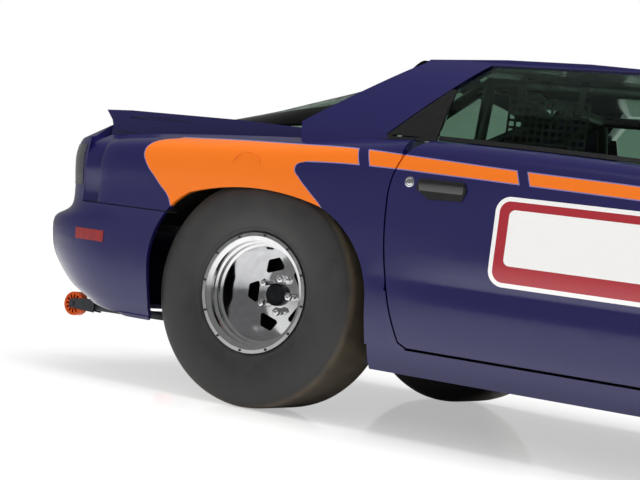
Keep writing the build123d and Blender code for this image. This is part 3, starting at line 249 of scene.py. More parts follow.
def surface(name, dark, light, grain_mm, rough, bump_mm=0.0, strength=0.3, **sockets):
    """A plain made surface: two close tones and two gloss levels that follow a grain of the given size."""
    material, tree, shader = begin(name, **sockets)
    place = add(tree, "ShaderNodeTexCoord").outputs["Object"]
    grain = add(tree, "ShaderNodeTexNoise", {"Vector": place, "Scale": 1000.0 / grain_mm, "Detail": 4.0})
    broad = add(tree, "ShaderNodeTexNoise", {"Vector": place, "Scale": 60.0 / grain_mm, "Detail": 3.0})
    tone = add(tree, "ShaderNodeMix", {0: broad.outputs[0], 6: linear(dark), 7: linear(light)},
               data_type="RGBA")
    tree.links.new(tone.outputs[2], shader.inputs["Base Color"])
    gloss = add(tree, "ShaderNodeMapRange", {0: broad.outputs[0], 1: GLOSS_RANGE[0], 2: GLOSS_RANGE[1],
                                             3: rough[0], 4: rough[1]})
    tree.links.new(gloss.outputs[0], shader.inputs["Roughness"])
    if bump_mm:
        raised = add(tree, "ShaderNodeBump", {"Strength": strength, "Distance": bump_mm / 1000.0,
                                              "Height": grain.outputs[0]})
        tree.links.new(raised.outputs[0], shader.inputs["Normal"])
    return material


# Rubber: gloss levels, how far below the tread its dust begins and is full, spacing of the rings, metres
RUBBER_GLOSS = (0.36, 0.6)
DUST_BELOW = (0.016, 0.004)
RING_SPACING = 0.005


def tyre_rubber(name, node):
    """Moulded rubber: lighter grey sidewall patches, partly bloomed rubber and partly a painted sheen,
    moulding rings, and brown dust pressed into the tread.
    """
    low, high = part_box(node)
    middle = (low + high) / 2
    radius = (high.z - low.z) / 2
    material, tree, shader = begin(name)
    place = add(tree, "ShaderNodeTexCoord").outputs["Object"]
    from_hub = add(tree, "ShaderNodeVectorMath", {0: place, 1: middle}, operation="SUBTRACT").outputs[0]
    flat = add(tree, "ShaderNodeVectorMath", {0: from_hub, 1: (1, 0, 1)}, operation="MULTIPLY").outputs[0]
    away = add(tree, "ShaderNodeVectorMath", {0: flat}, operation="LENGTH").outputs["Value"]
    # The lighter grey patches on the sidewall are partly bloomed rubber and partly a painted sheen
    bloom_and_sheen = add(tree, "ShaderNodeTexNoise", {"Vector": place, "Scale": 14.0, "Detail": 6.0,
                                             "Roughness": 0.65})
    side = add(tree, "ShaderNodeMix", {0: bloom_and_sheen.outputs[0], 6: linear("#1a1a1b"), 7: linear("#3a3938")},
               data_type="RGBA").outputs[2]
    dust_range = {0: away, 1: radius - DUST_BELOW[0], 2: radius - DUST_BELOW[1]}
    tread = add(tree, "ShaderNodeMapRange", dust_range).outputs[0]
    dusty = add(tree, "ShaderNodeMath", {0: tread, 1: bloom_and_sheen.outputs[0]}, operation="MULTIPLY").outputs[0]
    tone = add(tree, "ShaderNodeMix", {0: dusty, 6: side, 7: linear("#756751")}, data_type="RGBA").outputs[2]
    tree.links.new(tone, shader.inputs["Base Color"])
    gloss = add(tree, "ShaderNodeMapRange", {0: bloom_and_sheen.outputs[0], 1: GLOSS_RANGE[0], 2: GLOSS_RANGE[1],
                                             3: RUBBER_GLOSS[0], 4: RUBBER_GLOSS[1]})
    tree.links.new(gloss.outputs[0], shader.inputs["Roughness"])
    phase_per_metre = 2 * math.pi / RING_SPACING
    rings = add(tree, "ShaderNodeMath", {0: away, 1: phase_per_metre}, operation="MULTIPLY").outputs[0]
    rings = add(tree, "ShaderNodeMath", {0: rings}, operation="SINE").outputs[0]
    fine = add(tree, "ShaderNodeTexNoise", {"Vector": place, "Scale": 420.0, "Detail": 3.0})
    height = add(tree, "ShaderNodeMath", {0: rings, 1: 0.25, 2: fine.outputs[0]},
                 operation="MULTIPLY_ADD").outputs[0]
    raised = add(tree, "ShaderNodeBump", {"Strength": 0.4, "Distance": 0.0009, "Height": height})
    tree.links.new(raised.outputs[0], shader.inputs["Normal"])
    return material


def lens(name, dark, light, cell_mm, **sockets):
    """Moulded acrylic lamp lens: glossy outside, a grid of small prisms showing through."""
    material, tree, shader = begin(name, **sockets)
    place = add(tree, "ShaderNodeTexCoord").outputs["Object"]
    prisms = add(tree, "ShaderNodeTexVoronoi",
                 {"Vector": place, "Scale": 1000.0 / cell_mm, "Randomness": 0.0}, distance="CHEBYCHEV")
    tone = add(tree, "ShaderNodeMix", {0: prisms.outputs[0], 6: linear(dark), 7: linear(light)},
               data_type="RGBA")
    tree.links.new(tone.outputs[2], shader.inputs["Base Color"])
    raised = add(tree, "ShaderNodeBump", {"Strength": 0.25, "Distance": 0.001, "Height": prisms.outputs[0]})
    tree.links.new(raised.outputs[0], shader.inputs["Normal"])
    return material


def window_glass(name, border=None):
    """Tempered float glass: green cast, mirror smooth, fired black beyond the half width named border."""
    material, tree, shader = begin(name, Transmission_Weight=1.0, IOR=1.12, Roughness=0.0)
    place = add(tree, "ShaderNodeTexCoord").outputs["Object"]
    cast = add(tree, "ShaderNodeTexNoise", {"Vector": place, "Scale": 3.0, "Detail": 1.0})
    tint = add(tree, "ShaderNodeMix", {0: cast.outputs[0], 6: linear("#a9c4b4"), 7: linear("#b5cfc0")},
               data_type="RGBA").outputs[2]
    if border:
        axes = add(tree, "ShaderNodeSeparateXYZ", {0: place})
        across = add(tree, "ShaderNodeMath", {0: axes.outputs[1]}, operation="ABSOLUTE").outputs[0]
        edge = add(tree, "ShaderNodeMath", {0: across, 1: border}, operation="GREATER_THAN").outputs[0]
        tint = painted_over(tree, tint, "#050506", across, border)
        clear = add(tree, "ShaderNodeMath", {0: 1.0, 1: edge}, operation="SUBTRACT").outputs[0]
        tree.links.new(clear, shader.inputs["Transmission Weight"])
    tree.links.new(tint, shader.inputs["Base Color"])
    return material


# Nodes that carry the stripe, and those that carry the sign too
STRIPED = ("quarter_panels", "front_fenders")
DOORS = ("door_left", "door_right")
# Half width of the hatch glass inside its fired black edge, metres
HATCH_BORDER = 0.60


def dress_solids():
    """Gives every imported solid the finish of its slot."""
    finishes = {
        "body_paint": enamel("blue_enamel"),
        # ABS, moulded with a fine texture: soft sheen, nearly black
        "black_trim": surface("textured_abs", "#0d0d0e", "#161617", 1.2, (0.35, 0.5), 0.15),
        "glass": window_glass("tempered_glass"),
        "smoked_lens": lens("smoked_acrylic", "#101114", "#3c3f45", 9.0, Roughness=0.08, Coat_Weight=1.0),
        "red_lens": lens("red_acrylic", "#5a1418", "#b03434", 6.0, Roughness=0.1, Coat_Weight=1.0),
        "clear_lens": lens("clear_acrylic", "#9ea3a6", "#e6e9ea", 14.0, Roughness=0.06, Coat_Weight=1.0),
        # Pressed sheet steel under chassis black: satin sheen, faint pebble
        "floor_steel": surface("chassis_black_steel", "#111112", "#1d1d1e", 3.0, (0.4, 0.6), 0.2),
        # Sand-cast iron, painted: coarse skin and oily patches
        "cast_engine": surface("cast_iron", "#2a2a2b", "#48484a", 2.0, (0.45, 0.7), 0.5, Metallic=0.6),
        # Powder-coated tube: even grey with a faint pebble
        "chassis_steel": surface("powder_coated_steel", "#303236", "#45484c", 1.5, (0.35, 0.5), 0.12,
                                 Metallic=0.5),
        # Stainless tube, browned by heat
        "exhaust_steel": surface("stainless_steel", "#6f6254", "#b9b6b0", 4.0, (0.2, 0.4), Metallic=1.0),
        # Brushed-on enamel over tube: black gloss with faint brush waves
        "cage_paint": surface("cage_enamel", "#0f0f11", "#1c1c1f", 5.0, (0.25, 0.4), 0.1, Coat_Weight=0.3),
        # Embossed vinyl: 2 mm grain, dull sheen
        "seat_vinyl": surface("embossed_vinyl", "#101011", "#1d1d1e", 2.0, (0.45, 0.6), 0.4),
        # Moulded dash plastic: leather grain, no shine
        "dash_plastic": surface("grained_abs", "#131314", "#1e1e20", 1.8, (0.5, 0.65), 0.3),
        # Spun and polished aluminium: bright with slight waviness
        "polished_alloy": surface("polished_aluminium", "#c9cacc", "#e4e4e5", 2.0, (0.06, 0.16),
                                  Metallic=1.0),
        # Anodised aluminium, dyed black: even tone with a dull metal sheen
        "hub_black": surface("black_anodised_aluminium", "#17181a", "#2a2b2e", 1.0, (0.3, 0.45),
                             Metallic=0.8),
        # Anodised aluminium, dyed orange: clear colour with a metal gleam
        "orange_alloy": surface("orange_anodised_aluminium", "#d1481a", "#ee6a28", 1.5, (0.25, 0.4),
                                Metallic=0.7),
    }
    rubber = {axle: tyre_rubber(f"{axle}_slick_rubber", f"{axle}_tyre_right") for axle in ("rear", "front")}
    side_enamel = enamel("striped_enamel", striped=True)
    finishes["striped"] = side_enamel
    door_enamel = enamel("striped_door_enamel", striped=True, sign=True)
    for row in frame["record"]["subparts"]:
        node = row["node"]
        finish = finishes.get(row["material_slot"]) or rubber[node.split("_")[0]]
        if node in STRIPED:
            finish = side_enamel
        if node in DOORS:
            finish = door_enamel
        if node == "hatch_glass":
            finish = window_glass("black_edged_glass", HATCH_BORDER)
        if node == "quarter_windows":
            finish = finishes["black_trim"]
        data = frame["nodes"][node].data
        data.materials.clear()
        data.materials.append(finish)
    return finishes, rubber


FINISHES, RUBBER = dress_solids()


# Studio: floor size, and the floor's own glow near the car and out where it meets the backdrop
FLOOR_SIZE = 60.0
GLOW_NEAR = (3.5, 0.42)
GLOW_FAR = (9.0, 1.0)
# How bright the surroundings are as light and, of that, in reflections
SURROUND_POWER = 0.5
SURROUND_MIRRORED = 0.42
# Lamps: name, place, size, power
LAMPS = [("overhead_box", (0.0, 0.0, 6.0), (9.0, 6.0), 520.0),
         ("side_box", (0.0, -9.0, 3.2), (9.0, 2.6), 260.0),
         ("tail_box", (-8.0, -2.0, 2.6), (5.0, 2.4), 160.0),
         ("hall_lamp", (-1.4, -5.2, 4.6), (0.5, 0.3), 14.0)]
LAMP_AIM = Vector((0, 0, 0.6))
# Lamps shorter than this show as highlights; the soft boxes don't lie on the paint as white sheets
HIGHLIGHT_SIZE = 1.0


def studio():
    """Pale glossy floor, soft boxes above and beside the car, even white surroundings."""
    bpy.ops.object.select_all(action="DESELECT")
    bpy.ops.mesh.primitive_plane_add(size=FLOOR_SIZE, location=(0, 0, 0))
    floor = bpy.context.object
    floor.name = "studio_floor"
    paint = surface("studio_floor_paint", "#f7f7f6", "#fcfcfb", 40.0, (0.05, 0.09))
    # Seen straight on, the floor goes on into the white backdrop
    tree = paint.node_tree
    seen = add(tree, "ShaderNodeLightPath").outputs["Is Camera Ray"]
    place = add(tree, "ShaderNodeTexCoord").outputs["Object"]
    away = add(tree, "ShaderNodeVectorMath", {0: place}, operation="LENGTH").outputs["Value"]
    glow = add(tree, "ShaderNodeMapRange", {0: away, 1: GLOW_NEAR[0], 2: GLOW_FAR[0], 3: GLOW_NEAR[1],
                                            4: GLOW_FAR[1]}).outputs[0]
    glow = add(tree, "ShaderNodeMath", {0: seen, 1: glow}, operation="MULTIPLY").outputs[0]
    shader = tree.nodes["Principled BSDF"]
    shader.inputs["Emission Color"].default_value = linear("#ffffff")
    tree.links.new(glow, shader.inputs["Emission Strength"])
    floor.data.materials.append(paint)
    world = bpy.data.worlds.new("studio")
    world.use_nodes = True
    tree = world.node_tree
    tree.nodes["Background"].inputs[0].default_value = linear("#ffffff")
    path = add(tree, "ShaderNodeLightPath")
    seen = add(tree, "ShaderNodeMath", operation="MAXIMUM",
               inputs={0: path.outputs["Is Camera Ray"], 1: path.outputs["Is Transmission Ray"]}).outputs[0]
    power = add(tree, "ShaderNodeMapRange", {0: seen, 3: SURROUND_POWER, 4: 1.0}).outputs[0]
    # A dark hall above the car is what its paint mirrors
    mirrored = add(tree, "ShaderNodeMapRange",
                   {0: path.outputs["Is Glossy Ray"], 3: 1.0, 4: SURROUND_MIRRORED}).outputs[0]
    power = add(tree, "ShaderNodeMath", {0: power, 1: mirrored}, operation="MULTIPLY").outputs[0]
    tree.links.new(power, tree.nodes["Background"].inputs[1])
    bpy.context.scene.world = world
    for name, spot, size, watts in LAMPS:
        lamp = bpy.data.lights.new(name, "AREA")
        lamp.shape = "RECTANGLE"
        lamp.size, lamp.size_y = size
        lamp.energy = watts
        box = bpy.data.objects.new(name, lamp)
        box.location = spot
        box.rotation_euler = (LAMP_AIM - Vector(spot)).to_track_quat("-Z", "Y").to_euler()
        box.visible_glossy = size[0] < HIGHLIGHT_SIZE
        bpy.context.collection.objects.link(box)
    bpy.context.scene.view_settings.view_transform = "Standard"


studio()


def choose(test):
    """Selects the faces of the piece in edit mode that pass the test, and nothing else."""
    bpy.ops.mesh.select_mode(type="FACE")
    bpy.ops.mesh.select_all(action="DESELECT")
    mesh = bmesh.from_edit_mesh(bpy.context.object.data)
    for face in mesh.faces:
        face.select_set(test(face))
    bmesh.update_edit_mesh(bpy.context.object.data)


def settle(name, body, finish, smooth=35.0):
    """Names the piece at hand, puts its place into its mesh, and fixes it to a body."""
    piece = bpy.context.object
    piece.name = name
    piece.data.name = name
    bpy.ops.object.transform_apply(location=True, rotation=True, scale=True)
    bpy.ops.object.shade_smooth_by_angle(angle=math.radians(smooth))
    piece.data.materials.clear()
    piece.data.materials.append(finish)
    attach(piece, body)
    return piece


def twin(piece, name, body, move):
    """A copy with its own mesh, moved by a matrix and fixed to a body."""
    copy = piece.copy()
    copy.data = piece.data.copy()
    copy.name = name
    copy.data.name = name
    copy.parent = None
    copy.matrix_world = Matrix.Identity(4)
    copy.data.transform(move)
    if move.determinant() < 0:
        copy.data.flip_normals()
    bpy.context.collection.objects.link(copy)
    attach(copy, body)
    return copy


def joined(pieces, name):
    """Several copies made one piece, under the first one's body and slot."""
    bpy.ops.object.select_all(action="DESELECT")
    for piece in pieces:
        piece.select_set(True)
    bpy.context.view_layer.objects.active = pieces[0]
    bpy.ops.object.join()
    bpy.context.object.name = name
    bpy.context.object.data.name = name
    return bpy.context.object


# From the car's right to its left
MIRROR = Matrix.Scale(-1, 4, (0, 1, 0))
# Points closer than this are one point, metres
MERGE = 0.00001
# A face counts as facing along a line when its normal has at least this much of it
FACING = 0.9


def wheel_middle(node):
    """The middle of a node's box."""
    low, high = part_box(node)
    return (low + high) / 2


def turned(rows, middle, segments):
    """A ring drawn out by (radius, offset outwards) rows, mm, into a round shell about a cross-car line."""
    bpy.ops.object.select_all(action="DESELECT")
    radius, offset = rows[0]
    spot = (middle.x, middle.y - offset / 1000, middle.z)
    bpy.ops.mesh.primitive_circle_add(vertices=segments, radius=radius / 1000, location=spot,
                                      rotation=(math.pi / 2, 0, 0))
    bpy.ops.object.transform_apply(location=True, rotation=True, scale=True)
    bpy.ops.object.mode_set(mode="EDIT")
    bpy.ops.mesh.select_mode(type="VERT")
    bpy.ops.mesh.select_all(action="SELECT")
    for next_radius, next_offset in rows[1:]:
        shift = (0, (offset - next_offset) / 1000, 0)
        bpy.ops.mesh.extrude_region_move(TRANSFORM_OT_translate={"value": shift})
        grow = next_radius / radius
        bpy.ops.transform.resize(value=(grow, 1, grow), center_override=middle)
        radius, offset = next_radius, next_offset
    bpy.ops.mesh.select_all(action="SELECT")
    bpy.ops.mesh.remove_doubles(threshold=MERGE)
    bpy.ops.mesh.normals_make_consistent(inside=False)
    bpy.ops.object.mode_set(mode="OBJECT")


# Half of each tyre's section, bead to tread: radius, offset from the wheel's middle, mm
REAR_SECTION = [(190.6, 112), (191.0, 122), (198, 126), (206, 128.5), (211, 135), (218, 142), (222, 144),
                (225, 143.5), (229, 145), (240, 150.5), (258, 156.5), (280, 160), (304, 161), (328, 160),
                (348, 156.5), (364, 151), (376, 144.5), (384, 137), (389.5, 129), (392.5, 119),
                (393.6, 106), (394, 88), (394, 30)]
FRONT_SECTION = [(190.6, 30), (191.0, 38), (198, 41), (206, 44), (211, 48), (216, 52), (219, 52.5),
                 (223, 53), (240, 58), (262, 61), (284, 60), (302, 55.5), (314, 50), (322, 44), (327, 37),
                 (329.4, 28), (330, 12)]
TYRE_SEGMENTS = 144


def tyres():
    """Round-shouldered tyres with a rim guard ridge, in place of the plain solids."""
    for axle, section in (("rear", REAR_SECTION), ("front", FRONT_SECTION)):
        middle = wheel_middle(f"{axle}_tyre_right")
        rows = section + [(r, -y) for r, y in reversed(section)] + section[:1]
        turned(rows, middle, TYRE_SEGMENTS)
        right = settle(f"{axle}_slick_right", f"{axle}_wheel_right", RUBBER[axle], 40.0)
        left = twin(right, f"{axle}_slick_left", f"{axle}_wheel_left", MIRROR)
        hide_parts(f"{axle}_tyre_right")
        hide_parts(f"{axle}_tyre_left")


tyres()


# Chamfer and standing rim of a nut or screw head, as shares of its radius
HEAD_CHAMFER = 0.16
HEAD_RIM = 0.42


def round_fastener(name, spot, size, sides, body, finish):
    """A chamfered nut or screw head, (radius, height, sunk centre), standing out to the car's right."""
    radius, height, recess = size
    bpy.ops.object.select_all(action="DESELECT")
    bpy.ops.mesh.primitive_cylinder_add(vertices=sides, radius=radius, depth=height, location=spot,
                                        rotation=(math.pi / 2, 0, 0))
    bpy.ops.object.transform_apply(location=True, rotation=True, scale=True)
    bpy.ops.object.mode_set(mode="EDIT")
    choose(lambda face: abs(face.normal.y) > FACING)
    bpy.ops.mesh.bevel(offset=radius * HEAD_CHAMFER, segments=2, affect="EDGES")
    choose(lambda face: face.normal.y < -FACING and face.calc_area() > radius ** 2)
    bpy.ops.mesh.inset(thickness=radius * HEAD_RIM)
    bpy.ops.mesh.extrude_region_move(TRANSFORM_OT_translate={"value": (0, recess, 0)})
    bpy.ops.object.mode_set(mode="OBJECT")
    return settle(name, body, finish)


# Lug nuts and lip screws, metres: radius of the circle; radius, height and sunk centre of one; its sides
LUG_CIRCLE = 0.0603
LUG_SIZE = (0.0145, 0.022, 0.006)
LUG_SIDES = 6
LUG_COUNT = 5
LUG_TURN = math.radians(18.0)
LIP_CIRCLE = 0.2010
LIP_SIZE = (0.0046, 0.005, 0.002)
LIP_SIDES = 12
LIP_TURN = 0.1
# Axle, nut's middle from the wheel's middle outwards, lip face outwards, screws in the lip
WHEEL_ROWS = [("rear", -0.004, 0.1408, 12), ("front", 0.0205, 0.0568, 0)]


def around(piece, name, body, middle, count, first):
    """Copies of a piece round a wheel's axis, made one piece."""
    ring = []
    for i in range(count):
        turn = Matrix.Rotation(first + 2 * math.pi * i / count, 4, "Y")
        about = Matrix.Translation(middle) @ turn @ Matrix.Translation(-middle)
        ring.append(twin(piece, f"{name}_{i}", body, about))
    return joined(ring, name)


def wheel_fasteners():
    """Hex lug nuts on every wheel, and a ring of small screws in each rear wheel's lip."""
    for axle, nut_y, lip_y, screws in WHEEL_ROWS:
        middle = wheel_middle(f"{axle}_rim_right")
        body = f"{axle}_wheel_right"
        other = f"{axle}_wheel_left"
        spot = middle + Vector((0, -nut_y, LUG_CIRCLE))
        nut = round_fastener("lug_nut", spot, LUG_SIZE, LUG_SIDES, body, FINISHES["polished_alloy"])
        nuts = around(nut, f"{axle}_lug_nuts_right", body, middle, LUG_COUNT, LUG_TURN)
        bpy.data.objects.remove(nut)
        twin(nuts, f"{axle}_lug_nuts_left", other, MIRROR)
        if screws:
            spot = middle + Vector((0, -lip_y, LIP_CIRCLE))
            screw = round_fastener("lip_screw", spot, LIP_SIZE, LIP_SIDES, body,
                                   FINISHES["chassis_steel"])
            ring = around(screw, f"{axle}_lip_screws_right", body, middle, screws, LIP_TURN)
            bpy.data.objects.remove(screw)
            twin(ring, f"{axle}_lip_screws_left", other, MIRROR)


wheel_fasteners()


# Hub cap rows: radius, offset outwards from the hub's end, mm
CAP_ROWS = [(31.0, -12.0), (31.0, -3.0), (29.5, -1.0), (29.5, 0.6), (27.5, 2.4), (22.5, 2.4), (21.0, 0.8),
            (13.0, 0.8), (12.0, 2.0), (4.0, 2.4), (0.4, 2.4)]
CAP_SEGMENTS = 48
# Valve stem in each rear barrel: circle, angle from the top, middle outwards; radius, height, sunk centre
VALVE_CIRCLE = 0.1592
VALVE_TURN = math.radians(-8.0)
VALVE_OUT = 0.030
VALVE_SIZE = (0.0042, 0.036, 0.004)
VALVE_SIDES = 16


def hub_caps():
    """Stepped black cap on each wheel's hub, and a valve stem inside each rear barrel."""
    for axle in ("rear", "front"):
        low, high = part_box(f"{axle}_hub_right")
        end = Vector(((low.x + high.x) / 2, low.y, (low.z + high.z) / 2))
        body = f"{axle}_wheel_right"
        turned(CAP_ROWS, end, CAP_SEGMENTS)
        cap = settle(f"{axle}_hub_cap_right", body, FINISHES["hub_black"])
        twin(cap, f"{axle}_hub_cap_left", f"{axle}_wheel_left", MIRROR)
    middle = wheel_middle("rear_rim_right")
    reach = Vector((math.sin(VALVE_TURN), 0, math.cos(VALVE_TURN))) * VALVE_CIRCLE
    spot = middle + reach + Vector((0, -VALVE_OUT, 0))
    stem = round_fastener("valve_stem_right", spot, VALVE_SIZE, VALVE_SIDES, "rear_wheel_right",
                          FINISHES["chassis_steel"])
    twin(stem, "valve_stem_left", "rear_wheel_left", MIRROR)


hub_caps()


def at(x, y, z):
    """A place given in millimetres from the rear axle, in the scene's metres."""
    return Vector((x / 1000 + AXLE_X, y / 1000, z / 1000))


def traced(points):
    """A line drawn out from point to point; left in edit mode with the whole line selected."""
    bpy.ops.object.select_all(action="DESELECT")
    bpy.ops.mesh.primitive_plane_add(size=0.001, location=points[0])
    bpy.ops.object.transform_apply(location=True, rotation=True, scale=True)
    bpy.ops.object.mode_set(mode="EDIT")
    bpy.ops.mesh.select_mode(type="VERT")
    bpy.ops.mesh.select_all(action="SELECT")
    bpy.ops.mesh.merge(type="CENTER")
    for here, there in zip(points, points[1:]):
        bpy.ops.mesh.extrude_region_move(TRANSFORM_OT_translate={"value": there - here})
    bpy.ops.mesh.select_all(action="SELECT")


def thickened(depth):
    """Leaves edit mode and gives the sheet at hand a thickness, half to either side."""
    bpy.ops.mesh.select_all(action="SELECT")
    bpy.ops.mesh.normals_make_consistent(inside=False)
    bpy.ops.object.mode_set(mode="OBJECT")
    wall = bpy.context.object.modifiers.new("wall", "SOLIDIFY")
    wall.thickness = depth
    wall.offset = 0.0
    bpy.ops.object.modifier_apply(modifier="wall")


# Half width of the side glass by height, mm
GLASS_LINE = [(930.0, 862.0), (980.0, 842.0), (1080.0, 790.0), (1180.0, 724.0), (1260.0, 652.0)]


def glass_y(z):
    """Half width of the side glass at a height, mm."""
    for (low, wide), (high, narrow) in zip(GLASS_LINE, GLASS_LINE[1:]):
        if z <= high:
            return wide + (narrow - wide) * (z - low) / (high - low)
    return GLASS_LINE[-1][1]


# Rubber seal round the fixed quarter pane, its outer edge, mm from the axle
QUARTER_SEAL = [(384.0, 963.0), (484.0, 1068.0), (568.0, 1160.0), (588.0, 1160.0), (588.0, 1068.0),
                (588.0, 976.0), (505.0, 966.0)]
# How far the seal stands out from the glass, mm; its width, depth and rounded edge, metres
SEAL_OUT = 1.0
SEAL_WIDTH = 0.016
SEAL_DEPTH = 0.012
SEAL_ROUND = 0.0015


def quarter_seals():
    """Black rubber bedding between each fixed quarter pane and its pillar."""
    traced([at(x, -glass_y(z) - SEAL_OUT, z) for x, z in QUARTER_SEAL])
    bpy.ops.mesh.edge_face_add()
    choose(lambda face: True)
    bpy.ops.mesh.inset(thickness=SEAL_WIDTH)
    bpy.ops.mesh.delete(type="ONLY_FACE")
    bpy.ops.mesh.select_all(action="SELECT")
    bpy.ops.mesh.extrude_region_move(TRANSFORM_OT_translate={"value": (0, SEAL_DEPTH, 0)})
    bpy.ops.mesh.select_all(action="SELECT")
    bpy.ops.mesh.normals_make_consistent(inside=False)
    bpy.ops.mesh.bevel(offset=SEAL_ROUND, segments=2, affect="EDGES")
    bpy.ops.object.mode_set(mode="OBJECT")
    seal = settle("quarter_seal_right", "car", FINISHES["black_trim"])
    twin(seal, "quarter_seal_left", "car", MIRROR)


quarter_seals()


# Wiper strip along the foot of each door window: place, height, mm from the axle
BELT_LINE = [(600.0, 978.0), (760.0, 977.0), (960.0, 974.0), (1160.0, 970.0), (1307.0, 966.0),
             (1480.0, 957.0), (1640.0, 946.0), (1770.0, 937.0)]
# How far the strip stands out from the glass, mm; its inward lean, height and thickness, metres
WIPER_OUT = 5.0
WIPER_LEAN = 0.005
WIPER_HEIGHT = 0.014
WIPER_THICK = 0.007
# The side glass draws in ahead of this place: start, run, depth, mm
PINCH = (1360.0, 840.0, 60.0)


def pinch(x):
    """How far the side glass draws in ahead of the roof, mm."""
    start, run, depth = PINCH
    return depth * max((x - start) / run, 0.0) ** 2


def belt_wipers():
    """Flocked rubber strip between each door skin and its glass."""
    traced([at(x, -glass_y(z) - WIPER_OUT + pinch(x), z) for x, z in BELT_LINE])
    bpy.ops.mesh.extrude_region_move(TRANSFORM_OT_translate={"value": (0, WIPER_LEAN, WIPER_HEIGHT)})
    thickened(WIPER_THICK)
    strip = settle("belt_wiper_right", "right_door", FINISHES["black_trim"])
    twin(strip, "belt_wiper_left", "left_door", MIRROR)


belt_wipers()


# Round fittings on the body's side: (radius, offset outwards) rows, then places from the axle, mm
LOCK_ROWS = [(17.5, -4.0), (17.5, 0.6), (16.0, 1.6), (12.5, 1.8), (11.5, 0.8), (10.5, 1.4), (4.0, 1.8),
             (0.4, 1.8)]
FUEL_ROWS = [(58.5, -2.0), (58.5, 0.5), (58.0, 0.9), (56.9, 0.9), (56.4, 0.5), (56.4, -2.0)]
LOCK_PLACE = (564.0, -940.5, 829.0)
FUEL_PLACE = (-68.0, -944.5, 814.0)
LOCK_SEGMENTS = 40
FUEL_SEGMENTS = 72


def side_fittings():
    """Key locks in both doors, and the seam ring of the fuel flap in the right quarter panel."""
    turned(LOCK_ROWS, at(*LOCK_PLACE), LOCK_SEGMENTS)
    lock = settle("door_lock_right", "right_door", FINISHES["polished_alloy"])
    twin(lock, "door_lock_left", "left_door", MIRROR)
    turned(FUEL_ROWS, at(*FUEL_PLACE), FUEL_SEGMENTS)
    settle("fuel_flap_ring", "car", FINISHES["striped"])


side_fittings()


# Painted plastic: deep black under a hard, nearly mirror-like lacquer
GLOSS_BLACK = surface("lacquered_abs", "#060607", "#0b0b0c", 4.0, (0.06, 0.12), Coat_Weight=1.0)
# Handle flap, metres: margin inside the handle's outline, how far it stands out, its depth, rounded edge
FLAP_MARGIN = 0.008
FLAP_OUT = 0.005
FLAP_DEPTH = 0.012
FLAP_ROUND = 0.0028
# Its share of the handle's height, and what is left of its length and depth at the lower edge
FLAP_SHARE = 0.58
FLAP_TAPER = (0.96, 0.5, 1)


def handle_flaps():
    """Gloss-black pull flap over the upper part of each door handle, with a thinned lower edge."""
    low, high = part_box("door_handle_right")
    tall = (high.z - low.z) * FLAP_SHARE
    long = high.x - low.x - 2 * FLAP_MARGIN
    spot = Vector(((low.x + high.x) / 2, low.y - FLAP_OUT + FLAP_DEPTH / 2, high.z - FLAP_MARGIN - tall / 2))
    bpy.ops.object.select_all(action="DESELECT")
    bpy.ops.mesh.primitive_cube_add(size=1.0, location=spot)
    bpy.context.object.scale = (long, FLAP_DEPTH, tall)
    bpy.ops.object.transform_apply(location=True, rotation=True, scale=True)
    bpy.ops.object.mode_set(mode="EDIT")
    choose(lambda face: face.normal.z < -FACING)
    bpy.ops.transform.resize(value=FLAP_TAPER, center_override=spot + Vector((0, FLAP_DEPTH / 2, 0)))
    choose(lambda face: True)
    bpy.ops.mesh.bevel(offset=FLAP_ROUND, segments=3, affect="EDGES")
    bpy.ops.object.mode_set(mode="OBJECT")
    flap = settle("handle_flap_right", "right_door", GLOSS_BLACK)
    twin(flap, "handle_flap_left", "left_door", MIRROR)


handle_flaps()


# Polyester webbing: black, with the weave's 1.5 mm ribs
WEBBING = surface("polyester_webbing", "#0a0a0b", "#161617", 1.5, (0.6, 0.75), 0.4)
# Window net, mm from the axle: its ends, its foot and top; it hangs outside the cage's right roof bar
NET_X = (700.0, 985.0)
NET_Z = (945.0, 1165.0)
NET_Y = -552.0
NET_SQUARES = (11, 9)
# Width of a strap in the net, metres, and its thickness as a share of that
STRAP = 0.009
STRAP_FLAT = 0.25
# The roof bar's middle and radius, mm
BAR_Y = -520.0
BAR_Z = 1214.0
BAR_R = 20.6
# Hanging straps: name, rear edge; where each starts, inside and below the net's top, mm
HANGERS = [("net_strap_rear", 720.0), ("net_strap_front", 941.0)]
HANGER_START = (4.0, 30.0)
# Loop over the bar: gap to it, mm, steps, half turns; then a strap's width and thickness, metres
LOOP_GAP = 3.0
LOOP_STEPS = 10
LOOP_TURN = 1.1
HANGER_WIDTH = 0.024
HANGER_THICK = 0.003


